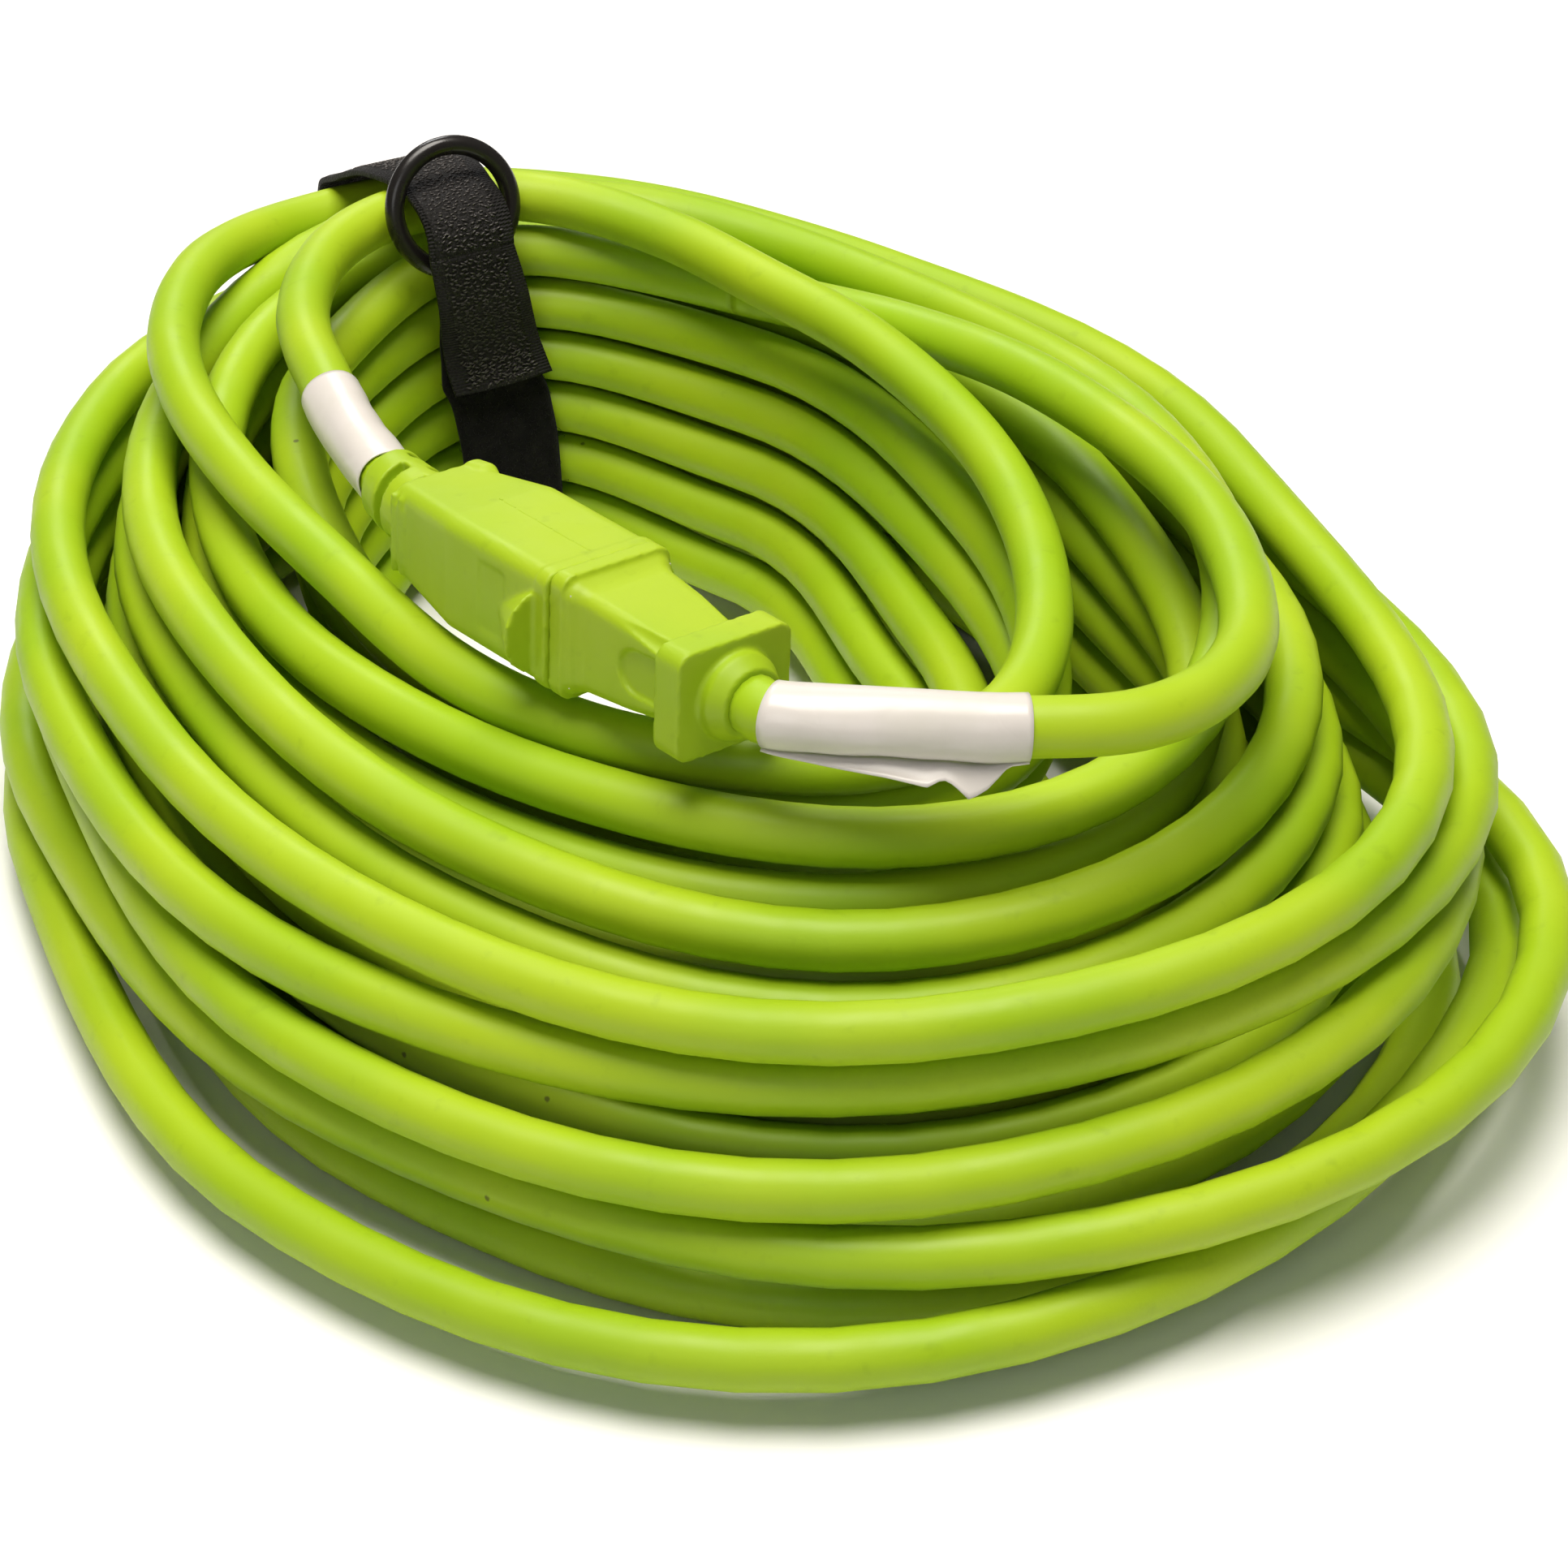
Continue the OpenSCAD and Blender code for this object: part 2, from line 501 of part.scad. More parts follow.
// The loop tape: outward, up and sideways. It hangs aslant down the inside.
tape_path = concat([for (q = [[0, 57], [-0.1, 50], [-1.4, 46], [-2.5, 42], [-3.1, 38], [-4.2, 33],
        [-4.8, 29], [-5.5, 24], [-6.3, 16], [-6.6, 7], [-5.1, 3], [-2.9, floor_z]]) [in_x + q[0], q[1], aslant(q[1])]],
    [[out_x - 3.2, floor_z, 0], [out_x - 1.2, floor_z + 1.6, 0], [out_x, 6, 0], [out_x, 50, 0]]);
function aslant(z) = -clip((54 - z)/16)*5.6 - clip((38 - z)/8)*0.9;
module strap_loop_tape() color("black") at_strap() {
    // round the bundle, from the fold down the inside and up the outside
    ribbon([for (q = tape_path) [q[0], q[1]]], [for (q = tape_path) q[2]], loop_tape_t, strap_w);
    // drawn in to the eye that holds the ring, and sewn back down
    strip([[in_x, 57 - eps], [in_x, bar_z + 1], [in_x - 0.5, bar_z + eye_rise + 1.5],
        [bar_x + 1.6, bar_z + eye_rise + bar_r + 0.7], [bar_x, bar_z + eye_rise + bar_r + 0.9],
        [bar_x - 1.6, bar_z + eye_rise + bar_r + 0.7], [eye_x + 0.5, bar_z + eye_rise + 1.5],
        [eye_x, bar_z + 1], [eye_x, bar_z - 1], [eye_x + 0.5, bar_z - 3], [fold_x, bar_z - 7.4], [fold_x, 50]], eye_t, eye_w);
}
crest = [[tab_x, tab_z + fit], [tab_x + 0.3, tab_z + 3], [tab_x + 1.6, tab_z + 5.4], [tab_x + 4, tab_z + 7],
    [tab_x + 7.4, tab_z + 7.9], [-2, 78.3], [3, 77.8], [8, 76.6], [13, 75], [18, 72.8], [23, 70.2],
    [28.4, 67], [hook_x - 2.4, 63.4], [hook_x - 0.5, 57.5], [hook_x, 52], [hook_x, 46], [hook_x, 24]];
module strap_hook_tape() color("black") at_strap() intersection() {
    strip(crest, hook_tape_t, strap_w);
    linear_extrude(height = 200, center = true) polygon([
        [-40, -strap_waist/2], [0, -strap_waist/2], [10, -strap_w/2], [60, -strap_w/2],
        [60, strap_w/2], [10, strap_w/2], [0, strap_waist/2], [-40, strap_waist/2]]);
}
tab_rest = fold_x - loop_tape_t/2 - fit - hook_tape_t/2;
// It hangs aslant, as the tape behind it does.
tab_path = concat([[tab_x, tab_z], [tab_x, tab_z - 7], [tab_x + 0.3, tab_z - 10], [tab_rest - 1, tab_z - 16]],
    [for (k = [0 : 4]) let (z = tab_z - 20 - (tab_l - 20)*k/4) [tab_rest - 0.2 - 0.27*max(0, 47 - z), z]]);
module strap_tab() color("black") at_strap() multmatrix([[1, 0, 0, 0], [0, 1, 0.2, -0.2*tab_z], [0, 0, 1, 0]])
    intersection() {
    strip(tab_path, hook_tape_t, strap_w);
    rotate([90, 0, 90]) linear_extrude(height = 100, center = true) polygon([
        [-strap_waist/2, tab_z + 5], [-strap_waist/2, tab_z - 4], [-strap_w/2, tab_z - 13],
        [-strap_w/2, 0], [strap_w/2, 0], [strap_w/2, tab_z - 13], [strap_waist/2, tab_z - 4],
        [strap_waist/2, tab_z + 5]]);
}
module hanging_ring() color("black") at_strap() translate([bar_x, 0, bar_z])
    rotate([0, ring_lean, 0]) translate([0, 0, ring_r]) rotate([0, 90, 0])
        rotate_extrude($fn = 96) translate([ring_r, 0]) circle(d = ring_bar, $fn = 32);

// ---- the part -----------------------------------------------------------
translate(place) cord_coil();
translate(place) plug_lead();
translate(place) connector_lead();
translate(place) plug_overmould();
translate(place) plug_bridge();
translate(place) plug_line_blade();
translate(place) plug_neutral_blade();
translate(place) plug_ground_pin();
translate(place) plug_line_wire();
translate(place) plug_neutral_wire();
translate(place) plug_ground_wire();
translate(place) connector_overmould();
translate(place) connector_contact_block();
translate(place) connector_line_contact();
translate(place) connector_neutral_contact();
translate(place) connector_ground_contact();
translate(place) connector_line_wire();
translate(place) connector_neutral_wire();
translate(place) connector_ground_wire();
translate(place) plug_label();
translate(place) connector_label();
translate(place) strap_loop_tape();
translate(place) strap_hook_tape();
translate(place) strap_tab();
translate(place) hanging_ring();
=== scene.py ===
from math import ceil, cos, floor, pi, radians, sin, sqrt
from random import Random

import bmesh
import bpy
from mathutils import Matrix, Vector


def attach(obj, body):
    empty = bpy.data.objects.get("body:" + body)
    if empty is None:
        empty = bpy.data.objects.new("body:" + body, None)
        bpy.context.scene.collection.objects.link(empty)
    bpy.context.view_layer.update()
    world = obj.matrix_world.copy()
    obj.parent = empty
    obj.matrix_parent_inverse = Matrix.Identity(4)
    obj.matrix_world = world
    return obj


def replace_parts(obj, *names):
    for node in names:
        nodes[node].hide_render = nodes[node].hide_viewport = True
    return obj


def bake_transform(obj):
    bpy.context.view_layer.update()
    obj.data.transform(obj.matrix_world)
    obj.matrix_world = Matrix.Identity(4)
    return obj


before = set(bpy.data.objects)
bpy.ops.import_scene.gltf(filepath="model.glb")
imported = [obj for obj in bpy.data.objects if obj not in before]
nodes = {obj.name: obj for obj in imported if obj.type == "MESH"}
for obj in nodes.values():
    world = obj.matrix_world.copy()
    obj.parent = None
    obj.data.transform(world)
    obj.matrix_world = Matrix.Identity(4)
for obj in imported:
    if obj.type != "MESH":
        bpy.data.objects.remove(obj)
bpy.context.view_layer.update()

scene = bpy.context.scene

# ---- where things stand, in metres ---------------------------------------
MM = 0.001
CORD = 9 * MM
PLACE = Vector((0.87, -5.58, 0)) * MM


def mm(*numbers):
    """A point of the part, from millimetres before the part was centred."""
    return Vector(numbers) * MM + PLACE


# The mated pair: +X from the connector to the plug, the seam at X = 0.
PAIR = (Matrix.Translation(mm(-34.2, -32.6, 78.9)) @ Matrix.Rotation(radians(-79.5), 4, "Z")
        @ Matrix.Rotation(radians(-3.2), 4, "Y") @ Matrix.Rotation(radians(-5.8), 4, "X"))
PAIR_DIR = (PAIR.to_3x3() @ Vector((1, 0, 0))).normalized()
PLUG_END = PAIR @ Vector((33.9 * MM, 0, 0))
# the strain relief bends sideways between these two distances behind the seam, in millimetres
RELIEF_FROM, RELIEF_TO = 42, 55
RELIEF_BEND = 0.0104
CONNECTOR_END = PAIR @ (Vector((-RELIEF_TO, RELIEF_BEND * (RELIEF_TO - RELIEF_FROM) ** 2, 0)) * MM)
CONNECTOR_OUT = (PAIR.to_3x3() @ Vector((-1, RELIEF_BEND * 2 * (RELIEF_TO - RELIEF_FROM), 0))).normalized()

# ---- the camera -------------------------------------------------------------
camera = bpy.data.objects.new("camera", bpy.data.cameras.new("camera"))
scene.collection.objects.link(camera)
scene.camera = camera
SENSOR = 36
camera.data.sensor_width = SENSOR
camera.data.lens = 5000 / 1932 * SENSOR
camera.data.clip_start = 0.01
camera.location = (-0.25955, -0.48269, 0.39784)
look = Vector((0.00667, -0.02158, 0.025)) - camera.location
camera.rotation_euler = look.to_track_quat("-Z", "Y").to_euler()

# ---- the winding ------------------------------------------------------------
TURNS = 23
ROWS = 5.5
CROSSING = 0.5          # turns in which the cord steps out to the next layer
LAYERS = 4
PITCH = 9               # from one turn to the next, where they touch
OVAL_X, OVAL_Y = 56, 88
MIDDLE_X, MIDDLE_Y = 6, 21
LIFT_AT = 80            # the side that rests on the strap, in degrees
TIGHT_AT = 78           # the side that the strap pulls tight, in degrees
# at eight places round the oval, from the tightest one
LAYER_GAP = (0.4, 1.6, 2.2, 2.7, 3.2, 5.8, 4.4, 0.8)
ROW_GAP = (1.2, 0.9, 0.9, 1.1, 1, 1, 1, 1.1)
LEAN = (0, 0.15, 0.25, 0.4, 0.45, 0.4, -0.08, -0.08)
INNER_LEAN = (0.03, 0.1, 0.22, 0.3, 0.3, 0.42, 0.5, 0.25)
WANDER = (0, 3.2, 4.8, 6, 6.2, 10.6, 5.2, 0)
HEAVE = (0, 2.3, 2.6, 1, 1.6, 2.3, 2.1, 1.2)
# turns that stand out: where, how far along, and by how much
BULGES = ((18.55, 0.16, 9.5), (19.7, 0.2, 5.8), (20.75, 0.3, 3.8))
CUT_BASE = PITCH * sqrt(3) / 4 - 0.9


def sind(a):
    return sin(radians(a))


def cosd(a):
    return cos(radians(a))


def clip(x):
    return min(1, max(0, x))


def around(values, a):
    """A value between eight places, every 45 degrees from the tightest one."""
    q = ((a - TIGHT_AT) / 45) % 8
    k = floor(q)
    w = (1 - cosd(180 * (q - k))) / 2
    return values[k % 8] * (1 - w) + values[(k + 1) % 8] * w


def coil_at(u):
    """The cord's middle after u turns: four layers, each wound down or up five and a half rows."""
    a = 45 + 360 * u
    k = min(floor(u / (ROWS + CROSSING)), LAYERS - 1)
    w = u - k * (ROWS + CROSSING)
    run = min(w, ROWS)
    j = ROWS - run if k % 2 == 0 else run
    t = clip((w - ROWS) / CROSSING)
    i = k + t
    step = PITCH + around(LAYER_GAP, a)
    rise = PITCH + around(ROW_GAP, a)
    out = around(WANDER, a)
    sway = (1 + sind(137.5 * j + 2 * a)) / 2
    bulge = sum(b[2] * (1 + cosd(180 * min(1, abs(u - b[0]) / b[1]))) / 2 for b in BULGES)
    first = clip(1 - i)
    lean = around(LEAN, a) * (1 - first) - around(INNER_LEAN, a) * first
    rho = (i * step + lean * (ROWS - j) * rise + clip(i - 2) * out * sway
           - first * 0.5 * out * (1 - sway) + bulge)
    off = abs((a - LIFT_AT + 180) % 360 - 180)
    near = (1 + cosd(180 * min(1, off / 45))) / 2
    z = (CUT_BASE + 3.6 * near + j * rise + (3.5 * sind(180 * t) if k == 1 else 0)
         + around(HEAVE, a) * sind(120 * i + 3 * a) * j / ROWS)
    # the round jacket rests on the floor, and the rows above settle with it
    z += (PITCH / 2 - CUT_BASE) * (1 - near) * (1 - j / ROWS)
    outward = Vector((OVAL_Y * cosd(a), OVAL_X * sind(a))).normalized()
    return mm(MIDDLE_X + OVAL_X * cosd(a) + rho * outward.x, MIDDLE_Y + OVAL_Y * sind(a) + rho * outward.y, z)


def smooth_line(points, steps):
    """A smooth line through points, with this many steps between two of them."""
    q = [2 * points[0] - points[1], *points, 2 * points[-1] - points[-2]]
    line = []
    for a, b, c, d in zip(q, q[1:], q[2:], q[3:]):
        for i in range(steps):
            t = i / steps
            line.append(0.5 * (2 * b + (c - a) * t + (2 * a - 5 * b + 4 * c - d) * t * t
                               + (3 * b - a - 3 * c + d) * t * t * t))
    return line + [points[-1].copy()]


def even_line(line, step):
    """The same line with its points a fixed step apart."""
    far = [0.0]
    for a, b in zip(line, line[1:]):
        far.append(far[-1] + (b - a).length)
    count = max(1, round(far[-1] / step))
    k = 0
    out = []
    for i in range(count + 1):
        at = far[-1] * i / count
        while k < len(far) - 2 and far[k + 1] < at:
            k += 1
        out.append(line[k].lerp(line[k + 1], (at - far[k]) / max(far[k + 1] - far[k], 1e-9)))
    return out


EASE_REACH = 36 * MM
EASE_PASSES = 70


def ease(line, middle):
    """Takes the kink out of a line near a point. Also says which of its points is now the nearest."""
    line = even_line(line, 1.5 * MM)
    for _ in range(EASE_PASSES):
        line = [line[0]] + [b.lerp((a + c) / 2, 0.5 * clip(2 - 2 * (b - middle).length / EASE_REACH))
                            for a, b, c in zip(line, line[1:], line[2:])] + [line[-1]]
    return line, min(range(len(line)), key=lambda i: (line[i] - middle).length)


TURN_POINTS = 72
coil = [coil_at(k / TURN_POINTS) for k in range(TURNS * TURN_POINTS + 1)]
COIL_START = (coil_at(0.002) - coil[0]).normalized()
COIL_STOP = (coil[-1] - coil_at(TURNS - 0.002)).normalized()
END_A = coil[0] - COIL_START * CORD
END_B = coil[-1] + COIL_STOP * CORD

plug_route = [PLUG_END, PLUG_END + 4 * MM * PAIR_DIR] + [mm(*p) for p in (
    (-21.4, -74.4, 80.9), (-12, -80.8, 80.8), (1, -89, 80.6), (17, -94.5, 79.5), (33, -91, 77.5),
    (47, -80, 75.5), (58, -62, 74.5), (65, -42, 73.5), (69, -15, 71), (68, 15, 68.5),
    (62.5, 45, 64))] + [coil[0] - 2 * CORD * COIL_START, END_A]
connector_route = [END_B, coil[-1] + 2 * CORD * COIL_STOP] + [mm(*p) for p in (
    (46, 124, 57.5), (22, 136.5, 59.4), (-7, 137, 60.6), (-30, 123, 65.1), (-45, 103, 66.4),
    (-53, 80, 66.5), (-55, 53, 65), (-53.5, 20, 64.5), (-50, -12, 63.5), (-40.5, -34.5, 62.6),
    (-26.5, -51.5, 62.5), (-10, -63, 62.5), (8, -65, 62.5), (23, -58, 62), (37, -42, 62),
    (49, -18, 62), (55, 8, 63.5), (53.5, 38, 66.5), (47, 64, 68), (40.5, 83.5, 69.5), (30.5, 99.5, 71),
    (19.4, 110.2, 71.2), (8, 112.2, 71.2), (-3.6, 111, 71.3), (-14, 105, 71.6), (-22.6, 95.2, 72.4),
    (-29.8, 83, 73.4), (-34.2, 71, 74.2), (-37, 59, 74.8), (-39.6, 47.5, 75.2), (-41.3, 36, 75.5))] + [
    CONNECTOR_END + 5 * MM * CONNECTOR_OUT, CONNECTOR_END]
# the leads run on into the winding without a kink, for the first six points of it
EASED_POINTS = 6
eased_turns = [k / (5 * TURN_POINTS) for k in range(5 * EASED_POINTS + 1)]
eased, joint = ease(smooth_line(plug_route, 8) + [coil_at(u) for u in eased_turns], END_A)
plug_line, coil_begin = eased[:joint + 1], eased[joint:]
COIL_START = (eased[joint + 1] - eased[joint - 1]).normalized()
END_A = plug_line[-1]
connector_line, _ = ease([coil_at(TURNS - u) for u in reversed(eased_turns)]
                         + smooth_line(connector_route, 8), END_B)


def line_frames(line, first=None, last=None):
    """Tangent, side and upper direction at each point of a line."""
    frames = []
    for i, p in enumerate(line):
        t = line[min(i + 1, len(line) - 1)] - line[max(i - 1, 0)]
        if i == 0 and first:
            t = first
        if i == len(line) - 1 and last:
            t = last
        t = t.normalized()
        side = t.cross(Vector((0, 0, 1))).normalized()
        frames.append((p, t, side, side.cross(t)))
    return frames


def new_piece(name, mesh, body=None, material=None):
    """Puts a finished mesh in the scene and lets it ride on a body, if it has one."""
    piece = bpy.data.objects.new(name, mesh)
    scene.collection.objects.link(piece)
    if material:
        piece.data.materials.append(material)
    if body:
        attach(piece, body)
    return piece


def finished(bm, name):
    """The mesh of a bmesh that is done."""
    mesh = bpy.data.meshes.new(name)
    bm.to_mesh(mesh)
    bm.free()
    return mesh


def closed_mesh(bm, name):
    """The mesh of closed shapes, all their faces turned outward."""
    bmesh.ops.recalc_face_normals(bm, faces=bm.faces)
    return finished(bm, name)


def row_and_column(vertex, rows, columns):
    """Where a vertex of a new flat grid stands in it."""
    return round((vertex.co.y + 1) / 2 * rows), round((vertex.co.x + 1) / 2 * columns)


def roll_tube(bm, rings, smooth, uv=None, far=None):
    """A closed tube through rings of points: a grid rolled up, welded along its seam and capped."""
    last, count = len(rings) - 1, len(rings[0])
    made = bmesh.ops.create_grid(bm, x_segments=count, y_segments=last, size=1)["verts"]
    cells = {v: row_and_column(v, last, count) for v in made}
    grid = {cell: v for v, cell in cells.items()}
    for face in {face for v in made for face in v.link_faces}:
        face.smooth = smooth
        if uv:
            for loop in face.loops:
                i, k = cells[loop.vert]
                loop[uv].uv = (far[i], k / count)
    for v, (i, k) in cells.items():
        v.co = rings[i][k % count]
    bmesh.ops.weld_verts(bm, targetmap={grid[i, count]: grid[i, 0] for i in range(last + 1)})
    for i in (0, last):
        end = [grid[i, k] for k in range(count)]
        bmesh.ops.holes_fill(bm, edges=[bm.edges.get((v, end[k - 1])) for k, v in enumerate(end)], sides=0)


def round_rings(frames, radius, sides):
    """A ring of points round each place of a line."""
    return [[p + radius * (cos(2 * pi * k / sides) * side + sin(2 * pi * k / sides) * up) for k in range(sides)]
            for p, _, side, up in frames]


def round_cord(name, line, first, last, sides=16):
    """A round jacket along a line and its length. The UV map is metres along and turns round."""
    bm = bmesh.new()
    far = [0.0]
    for a, b in zip(line, line[1:]):
        far.append(far[-1] + (b - a).length)
    roll_tube(bm, round_rings(line_frames(line, first, last), CORD / 2, sides), True,
              bm.loops.layers.uv.new("length"), far)
    return closed_mesh(bm, name), far[-1]


# ---- shader groups ------------------------------------------------------------
def shader_group(name, inputs, outputs):
    """An empty node group with named values coming in and going out."""
    tree = bpy.data.node_groups.new(name, "ShaderNodeTree")
    for label, kind, value in inputs:
        socket = tree.interface.new_socket(label, in_out="INPUT", socket_type="NodeSocket" + kind)
        if value is not None:
            socket.default_value = value
    for label, kind in outputs:
        tree.interface.new_socket(label, in_out="OUTPUT", socket_type="NodeSocket" + kind)
    return tree, tree.nodes.new("NodeGroupInput"), tree.nodes.new("NodeGroupOutput")


def add(tree, kind, **settings):
    """A shader node with its settings."""
    node = tree.nodes.new("ShaderNode" + kind)
    for key, value in settings.items():
        setattr(node, key, value)
    return node


def join(tree, source, target):
    tree.links.new(source, target)


def arithmetic(tree, operation, a, b=None, c=None, clamp=False):
    """A math node on one to three numbers or sockets."""
    node = add(tree, "Math", operation=operation, use_clamp=clamp)
    for k, value in enumerate((a, b, c)):
        if isinstance(value, (int, float)):
            node.inputs[k].default_value = value
        elif value:
            join(tree, value, node.inputs[k])
    return node.outputs[0]


def blend_colours(tree, mask, a, b):
    """From colour a to colour b by a mask. A colour is three numbers or a socket."""
    node = add(tree, "Mix", data_type="RGBA")
    for k, value in ((6, a), (7, b)):
        if isinstance(value, tuple):
            node.inputs[k].default_value = value + (1,)
        else:
            join(tree, value, node.inputs[k])
    join(tree, mask, node.inputs[0])
    return node.outputs[2]


def make_speck_group():
    """Scattered dark specks: one in a few cells, each a small uneven dot."""
    tree, into, out = shader_group("specks", (
        ("Vector", "Vector", None), ("Cells per metre", "Float", 90.0), ("Size", "Float", 0.06),
        ("Share", "Float", 0.3)), (("Mask", "Float"),))
    wobble = add(tree, "TexNoise")
    wobble.inputs["Scale"].default_value = 900
    join(tree, into.outputs["Vector"], wobble.inputs["Vector"])
    cells = add(tree, "TexVoronoi", feature="F1")
    join(tree, into.outputs["Vector"], cells.inputs["Vector"])
    join(tree, into.outputs["Cells per metre"], cells.inputs["Scale"])
    uneven = arithmetic(tree, "MULTIPLY_ADD", wobble.outputs["Fac"], 0.05, cells.outputs["Distance"])
    edge = arithmetic(tree, "SUBTRACT", into.outputs["Size"], arithmetic(tree, "SUBTRACT", uneven, 0.025))
    dot = arithmetic(tree, "MULTIPLY", edge, 60, clamp=True)
    pick = add(tree, "SeparateColor")
    join(tree, cells.outputs["Color"], pick.inputs[0])
    chosen = arithmetic(tree, "LESS_THAN", pick.outputs[0], into.outputs["Share"])
    join(tree, arithmetic(tree, "MULTIPLY", dot, chosen), out.inputs["Mask"])
    return tree


def make_mottle_group():
    """Slow change over a surface, from 0 to 1, centred on a half."""
    tree, into, out = shader_group("mottle", (
        ("Vector", "Vector", None), ("Scale", "Float", 40.0), ("Detail", "Float", 3.0),
        ("Low", "Float", 0.35), ("High", "Float", 0.65)), (("Value", "Float"),))
    noise = add(tree, "TexNoise")
    for label in ("Vector", "Scale", "Detail"):
        join(tree, into.outputs[label], noise.inputs[label])
    spread = add(tree, "MapRange")
    join(tree, noise.outputs["Fac"], spread.inputs["Value"])
    join(tree, into.outputs["Low"], spread.inputs["From Min"])
    join(tree, into.outputs["High"], spread.inputs["From Max"])
    join(tree, spread.outputs["Result"], out.inputs["Value"])
    return tree


SPECKS = make_speck_group()
MOTTLE = make_mottle_group()


def use_group(tree, group, vector, **values):
    """A node group with its values; the names' underscores stand for spaces."""
    node = add(tree, "Group")
    node.node_tree = group
    join(tree, vector, node.inputs["Vector"])
    for key, value in values.items():
        node.inputs[key.replace("_", " ")].default_value = value
    return node.outputs[0]


def new_material(name):
    """A material with its node tree, its shader and its coordinates."""
    material = bpy.data.materials.new(name)
    material.use_nodes = True
    tree = material.node_tree
    shader = tree.nodes["Principled BSDF"]
    place = add(tree, "TexCoord")
    return material, tree, shader, place


def set_bump(tree, shader, height, strength, distance):
    bump = add(tree, "Bump")
    bump.inputs["Strength"].default_value = strength
    bump.inputs["Distance"].default_value = distance
    join(tree, height, bump.inputs["Height"])
    join(tree, bump.outputs["Normal"], shader.inputs["Normal"])


def add_noise(tree, vector, scale, detail=2.0, rough=0.5):
    node = add(tree, "TexNoise")
    node.inputs["Scale"].default_value = scale
    node.inputs["Detail"].default_value = detail
    node.inputs["Roughness"].default_value = rough
    join(tree, vector, node.inputs["Vector"])
    return node.outputs["Fac"]


def split_uv(tree, place):
    """A UV map's two numbers: metres along, and turns round a cord or metres across a tape."""
    parts = add(tree, "SeparateXYZ")
    join(tree, place.outputs["UV"], parts.inputs[0])
    return parts.outputs[0], parts.outputs[1]


def make_vinyl(name, plain, sunny, along_cord=False, grain=0.25, specks=0.28):
    """Soft lime vinyl: slow changes of colour, a few dark specks, a faint skin."""
    material, tree, shader, place = new_material(name)
    where = place.outputs["Object"]
    tone = use_group(tree, MOTTLE, where, Scale=22.0, Detail=2.0)
    colour = blend_colours(tree, tone, plain, sunny)
    dirt = use_group(tree, SPECKS, where, Cells_per_metre=75.0, Size=0.045, Share=specks)
    dust = use_group(tree, MOTTLE, where, Scale=300.0, Detail=5.0, Low=0.62, High=0.8)
    colour = blend_colours(tree, arithmetic(tree, "MULTIPLY", dust, 0.3), colour,
                           (plain[0] * 0.6, plain[1] * 0.6, plain[2] * 0.7))
    colour = blend_colours(tree, arithmetic(tree, "MULTIPLY", dirt, 0.75), colour, (0.07, 0.06, 0.01))
    join(tree, colour, shader.inputs["Base Color"])
    shine = use_group(tree, MOTTLE, where, Scale=120.0, Detail=4.0)
    rough = arithmetic(tree, "MULTIPLY_ADD", shine, 0.12, 0.44)
    join(tree, rough, shader.inputs["Roughness"])
    skin = use_group(tree, MOTTLE, where, Scale=1400.0, Detail=2.0, Low=0.2, High=0.8)
    height = arithmetic(tree, "MULTIPLY", skin, 0.12)
    if along_cord:
        # long faint flats that the three twisted conductors press into the jacket
        along, turns = split_uv(tree, place)
        lay_length = 0.11
        twist = arithmetic(tree, "MULTIPLY_ADD", along, 2 * pi / lay_length,
                           arithmetic(tree, "MULTIPLY", turns, 3 * 2 * pi))
        flats = arithmetic(tree, "SINE", twist)
        height = arithmetic(tree, "ADD", height, arithmetic(tree, "MULTIPLY", flats, 0.35))
    set_bump(tree, shader, height, grain, 0.0003)
    shader.inputs["Specular IOR Level"].default_value = 0.36
    shader.inputs["Coat Weight"].default_value = 0.03
    shader.inputs["Coat Roughness"].default_value = 0.3
    return material


def make_metal(name, colour, rough):
    """Stamped metal, a little uneven in tone and shine."""
    material, tree, shader, place = new_material(name)
    tone = use_group(tree, MOTTLE, place.outputs["Object"], Scale=500.0, Detail=3.0)
    dull = tuple(c * 0.75 for c in colour)
    join(tree, blend_colours(tree, tone, colour, dull), shader.inputs["Base Color"])
    join(tree, arithmetic(tree, "MULTIPLY_ADD", tone, 0.15, rough), shader.inputs["Roughness"])
    shader.inputs["Metallic"].default_value = 1
    set_bump(tree, shader, tone, 0.1, 0.0001)
    return material


def make_plastic(name, colour, rough, grain=0.1):
    """Plain moulded plastic with a fine skin."""
    material, tree, shader, place = new_material(name)
    tone = use_group(tree, MOTTLE, place.outputs["Object"], Scale=180.0, Detail=3.0)
    dull = tuple(c * 0.8 for c in colour)
    join(tree, blend_colours(tree, tone, colour, dull), shader.inputs["Base Color"])
    join(tree, arithmetic(tree, "MULTIPLY_ADD", tone, 0.12, rough), shader.inputs["Roughness"])
    skin = use_group(tree, MOTTLE, place.outputs["Object"], Scale=2500.0, Detail=2.0)
    set_bump(tree, shader, skin, grain, 0.0001)
    return material


